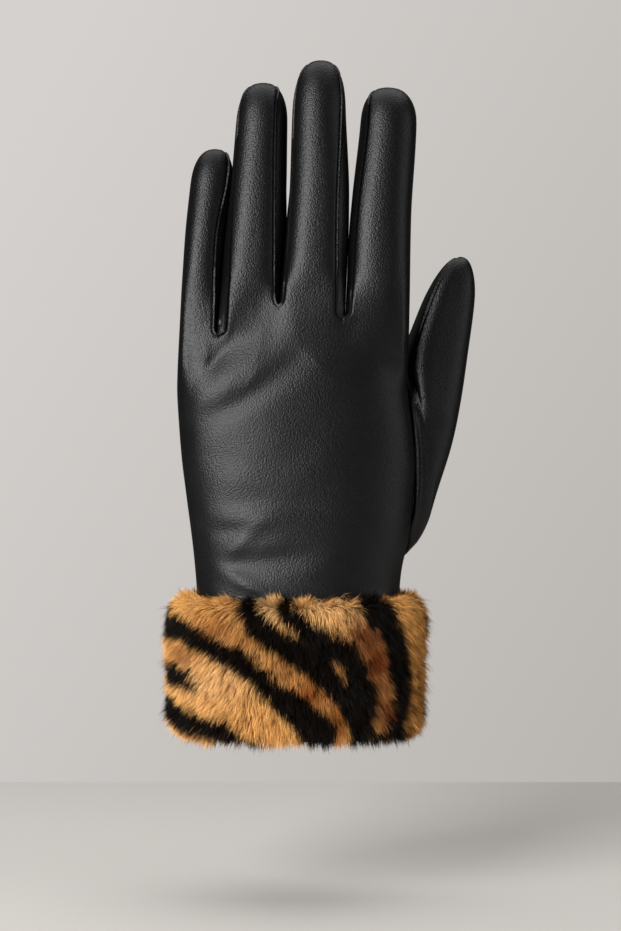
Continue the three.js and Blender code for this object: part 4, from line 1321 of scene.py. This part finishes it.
def add_fur(name, way_from, way_to, seed):
    """One part of the fur: hairs at one jittered place in each cell of a grid."""
    draw = np.random.default_rng(seed)
    span = way_to - way_from
    columns = round(np.sqrt(HAIRS_EACH * span / PAD_WAY))
    rows = HAIRS_EACH // columns
    i, j = np.divmod(np.arange(rows * columns), columns)
    way = way_from + (j + draw.random(len(j))) / columns * span
    along = (i + draw.random(len(i))) / rows * PAD_WAY
    hairs, colours = grow_hairs(way, along, draw)
    count = len(way)
    corners = np.array([[0, 1, 3, 2], [2, 3, 5, 4], [4, 5, 6, 6]])
    faces = (np.arange(count)[:, None, None] * HAIR_POINTS + corners).reshape(-1, 4)
    obj = add_mesh(name, hairs.reshape(-1, 3), faces, [FUR_MATERIAL], smooth_angle=None)
    paint(obj, colours)
    spot = np.stack([(way - way_from) / span, along / PAD_WAY], -1)[:, None] * LAYOUT["size"] + LAYOUT["margin"]
    spread = np.array([[-1, -2], [1, -2], [-1, 0], [1, 0], [-1, 2], [1, 2], [0, 4]]) * LAYOUT["hair"]
    lay_out(obj, (spot + spread).reshape(-1, 2))
    place_in_frame(obj, "fur_cuff")


def add_backing():
    """The padded band that the fur grows from, as a closed ring: up the outer face, over the upper edge, down the
    inner face and round the lower edge."""
    around, arc, flat = 180, 7, 10
    turn = np.concatenate([np.linspace(-180, 0, arc), np.zeros(flat), np.linspace(0, 180, arc), np.full(flat, 180.0)])
    rise = np.linspace(0, 1, flat + 2)[1:-1]
    fall = np.linspace(1, 0, flat + 2)[1:-1]
    height = np.concatenate([np.zeros(arc), rise, np.ones(arc), fall])
    way = np.arange(around) / around * ROUND + RING_WAY[0]
    grid_way, turn, height = np.broadcast_arrays(way[None], turn[:, None] * DEG, height[:, None])
    p, _, _ = pad_point(grid_way, turn, height)
    number = np.arange(grid_way.size).reshape(grid_way.shape)
    up, on = np.roll(number, -1, 0), np.roll(number, -1, 1)
    faces = np.stack([number, on, np.roll(up, -1, 1), up], -1).reshape(-1, 4)
    # The backing takes the print darkened by SEEN's backing share: painted shade, for the shade deep under the pile.
    colour = fur_colour(grid_way, p[..., 2]) * SEEN["backing"]
    obj = add_mesh("fur_backing", p.reshape(-1, 3), faces, [FUR_MATERIAL], smooth_angle=None)
    paint(obj, np.concatenate([colour, np.ones(grid_way.shape + (1,))], -1))
    place_in_frame(obj, "fur_cuff")


FUR_MATERIAL = modacrylic_fur()
add_backing()
for number in range(FUR_PIECES):
    edge = RING_WAY[0] + ROUND * number / FUR_PIECES
    add_fur(f"fur_{number + 1}", edge, edge + ROUND / FUR_PIECES, SEEDS["hairs"] + number)


# ---- stage, light and camera


def rolled_paint():
    """The table top: pale grey emulsion, rolled on. It is dull, and shows the eye a soft shadow and no mirror."""
    material, tree = new_material("matt_floor_paint")
    colour = linear("#c6c2bd")
    shader = node(tree, "ShaderNodeBsdfPrincipled", Base_Color=colour, Roughness=0.8, Specular_IOR_Level=0.1)
    node(tree, "ShaderNodeOutputMaterial", Surface=shader.outputs[0])
    return material


# Lights as place, aim, width and height, and watts: the key from the front left, the rim from the right, and a
# broad one from above.
LIGHTS = {
    "key": ((-590, -830, 430), (0, 0, 120), (600, 900), 21.5),
    "rim": ((950, -350, 260), (0, 0, 110), (700, 1000), 2.7),
    "top": ((0, 150, 1500), (0, 0, 0), (1900, 1500), 15),
}
FLOOR = {"z": -54.8, "back": 235.0, "front": -2500, "side": 3000}  # the table top ends behind the glove
CAMERA = {"x": 4.25, "y": -660, "z": 91.2, "focal_pixels": 1941, "frame_pixels": 931, "sensor": 36}


def build_stage():
    """A pale table top that ends behind the glove, before a pale backdrop, which is the world itself."""
    side, front, back, z = FLOOR["side"], FLOOR["front"], FLOOR["back"], FLOOR["z"]
    corners = np.array([[-side, front, z], [side, front, z], [side, back, z], [-side, back, z]])
    add_mesh("floor", corners, np.array([[0, 1, 2, 3]]), [rolled_paint()])


def build_lights():
    """Rectangular area lights, each turned to its aim."""
    for name, (place, aim, size, watts) in LIGHTS.items():
        light = bpy.data.lights.new(name, "AREA")
        light.shape = "RECTANGLE"
        light.size, light.size_y = size[0] * MM, size[1] * MM
        light.energy = watts
        obj = add_object(name, light)
        obj.location = Vector(place) * MM
        obj.rotation_euler = (Vector(aim) - Vector(place)).to_track_quat("-Z", "Y").to_euler()


def build_backdrop():
    """The world: the camera sees a pale wall with painted shade that darkens it to one side, and the glove gets a
    faint, even light.
    """
    world = bpy.data.worlds.new("studio")
    bpy.context.scene.world = world
    world.use_nodes = True
    tree = world.node_tree
    tree.nodes.clear()
    way = node(tree, "ShaderNodeTexCoord").outputs["Generated"]
    lean = node(tree, "ShaderNodeVectorMath", {"operation": "DOT_PRODUCT"}, _0=way, _1=(1.0, 0.0, -0.6))
    share = node(tree, "ShaderNodeMapRange", Value=lean.outputs["Value"], From_Min=-0.25, From_Max=0.25)
    # The wall's darker side is painted shade, for the light falling off across it.
    pale, dark = linear("#d5d1ce"), linear("#b9b5b1")
    wall = node(tree, "ShaderNodeMix", {"data_type": "RGBA"}, _0=share.outputs[0], _6=pale, _7=dark)
    seen = node(tree, "ShaderNodeBackground", Color=wall.outputs[2], Strength=1.0)
    light = node(tree, "ShaderNodeBackground", Color=linear("#f2f1ef"), Strength=0.06)
    path = node(tree, "ShaderNodeLightPath").outputs["Is Camera Ray"]
    both = node(tree, "ShaderNodeMixShader", _0=path, _1=light.outputs[0], _2=seen.outputs[0])
    node(tree, "ShaderNodeOutputWorld", Surface=both.outputs[0])
    bpy.context.scene.view_settings.view_transform = "Standard"


def build_camera():
    """A level camera in front of the glove, whose lens comes from the focal length in pixels."""
    camera = bpy.data.cameras.new("camera")
    camera.sensor_fit = "VERTICAL"
    camera.sensor_height = CAMERA["sensor"]
    camera.lens = CAMERA["focal_pixels"] / CAMERA["frame_pixels"] * CAMERA["sensor"]
    camera.clip_end = 10
    obj = add_object("camera", camera)
    obj.location = Vector((CAMERA["x"], CAMERA["y"], CAMERA["z"])) * MM
    obj.rotation_euler = (np.pi / 2, 0, 0)
    bpy.context.scene.camera = obj


build_stage()
build_lights()
build_backdrop()
build_camera()
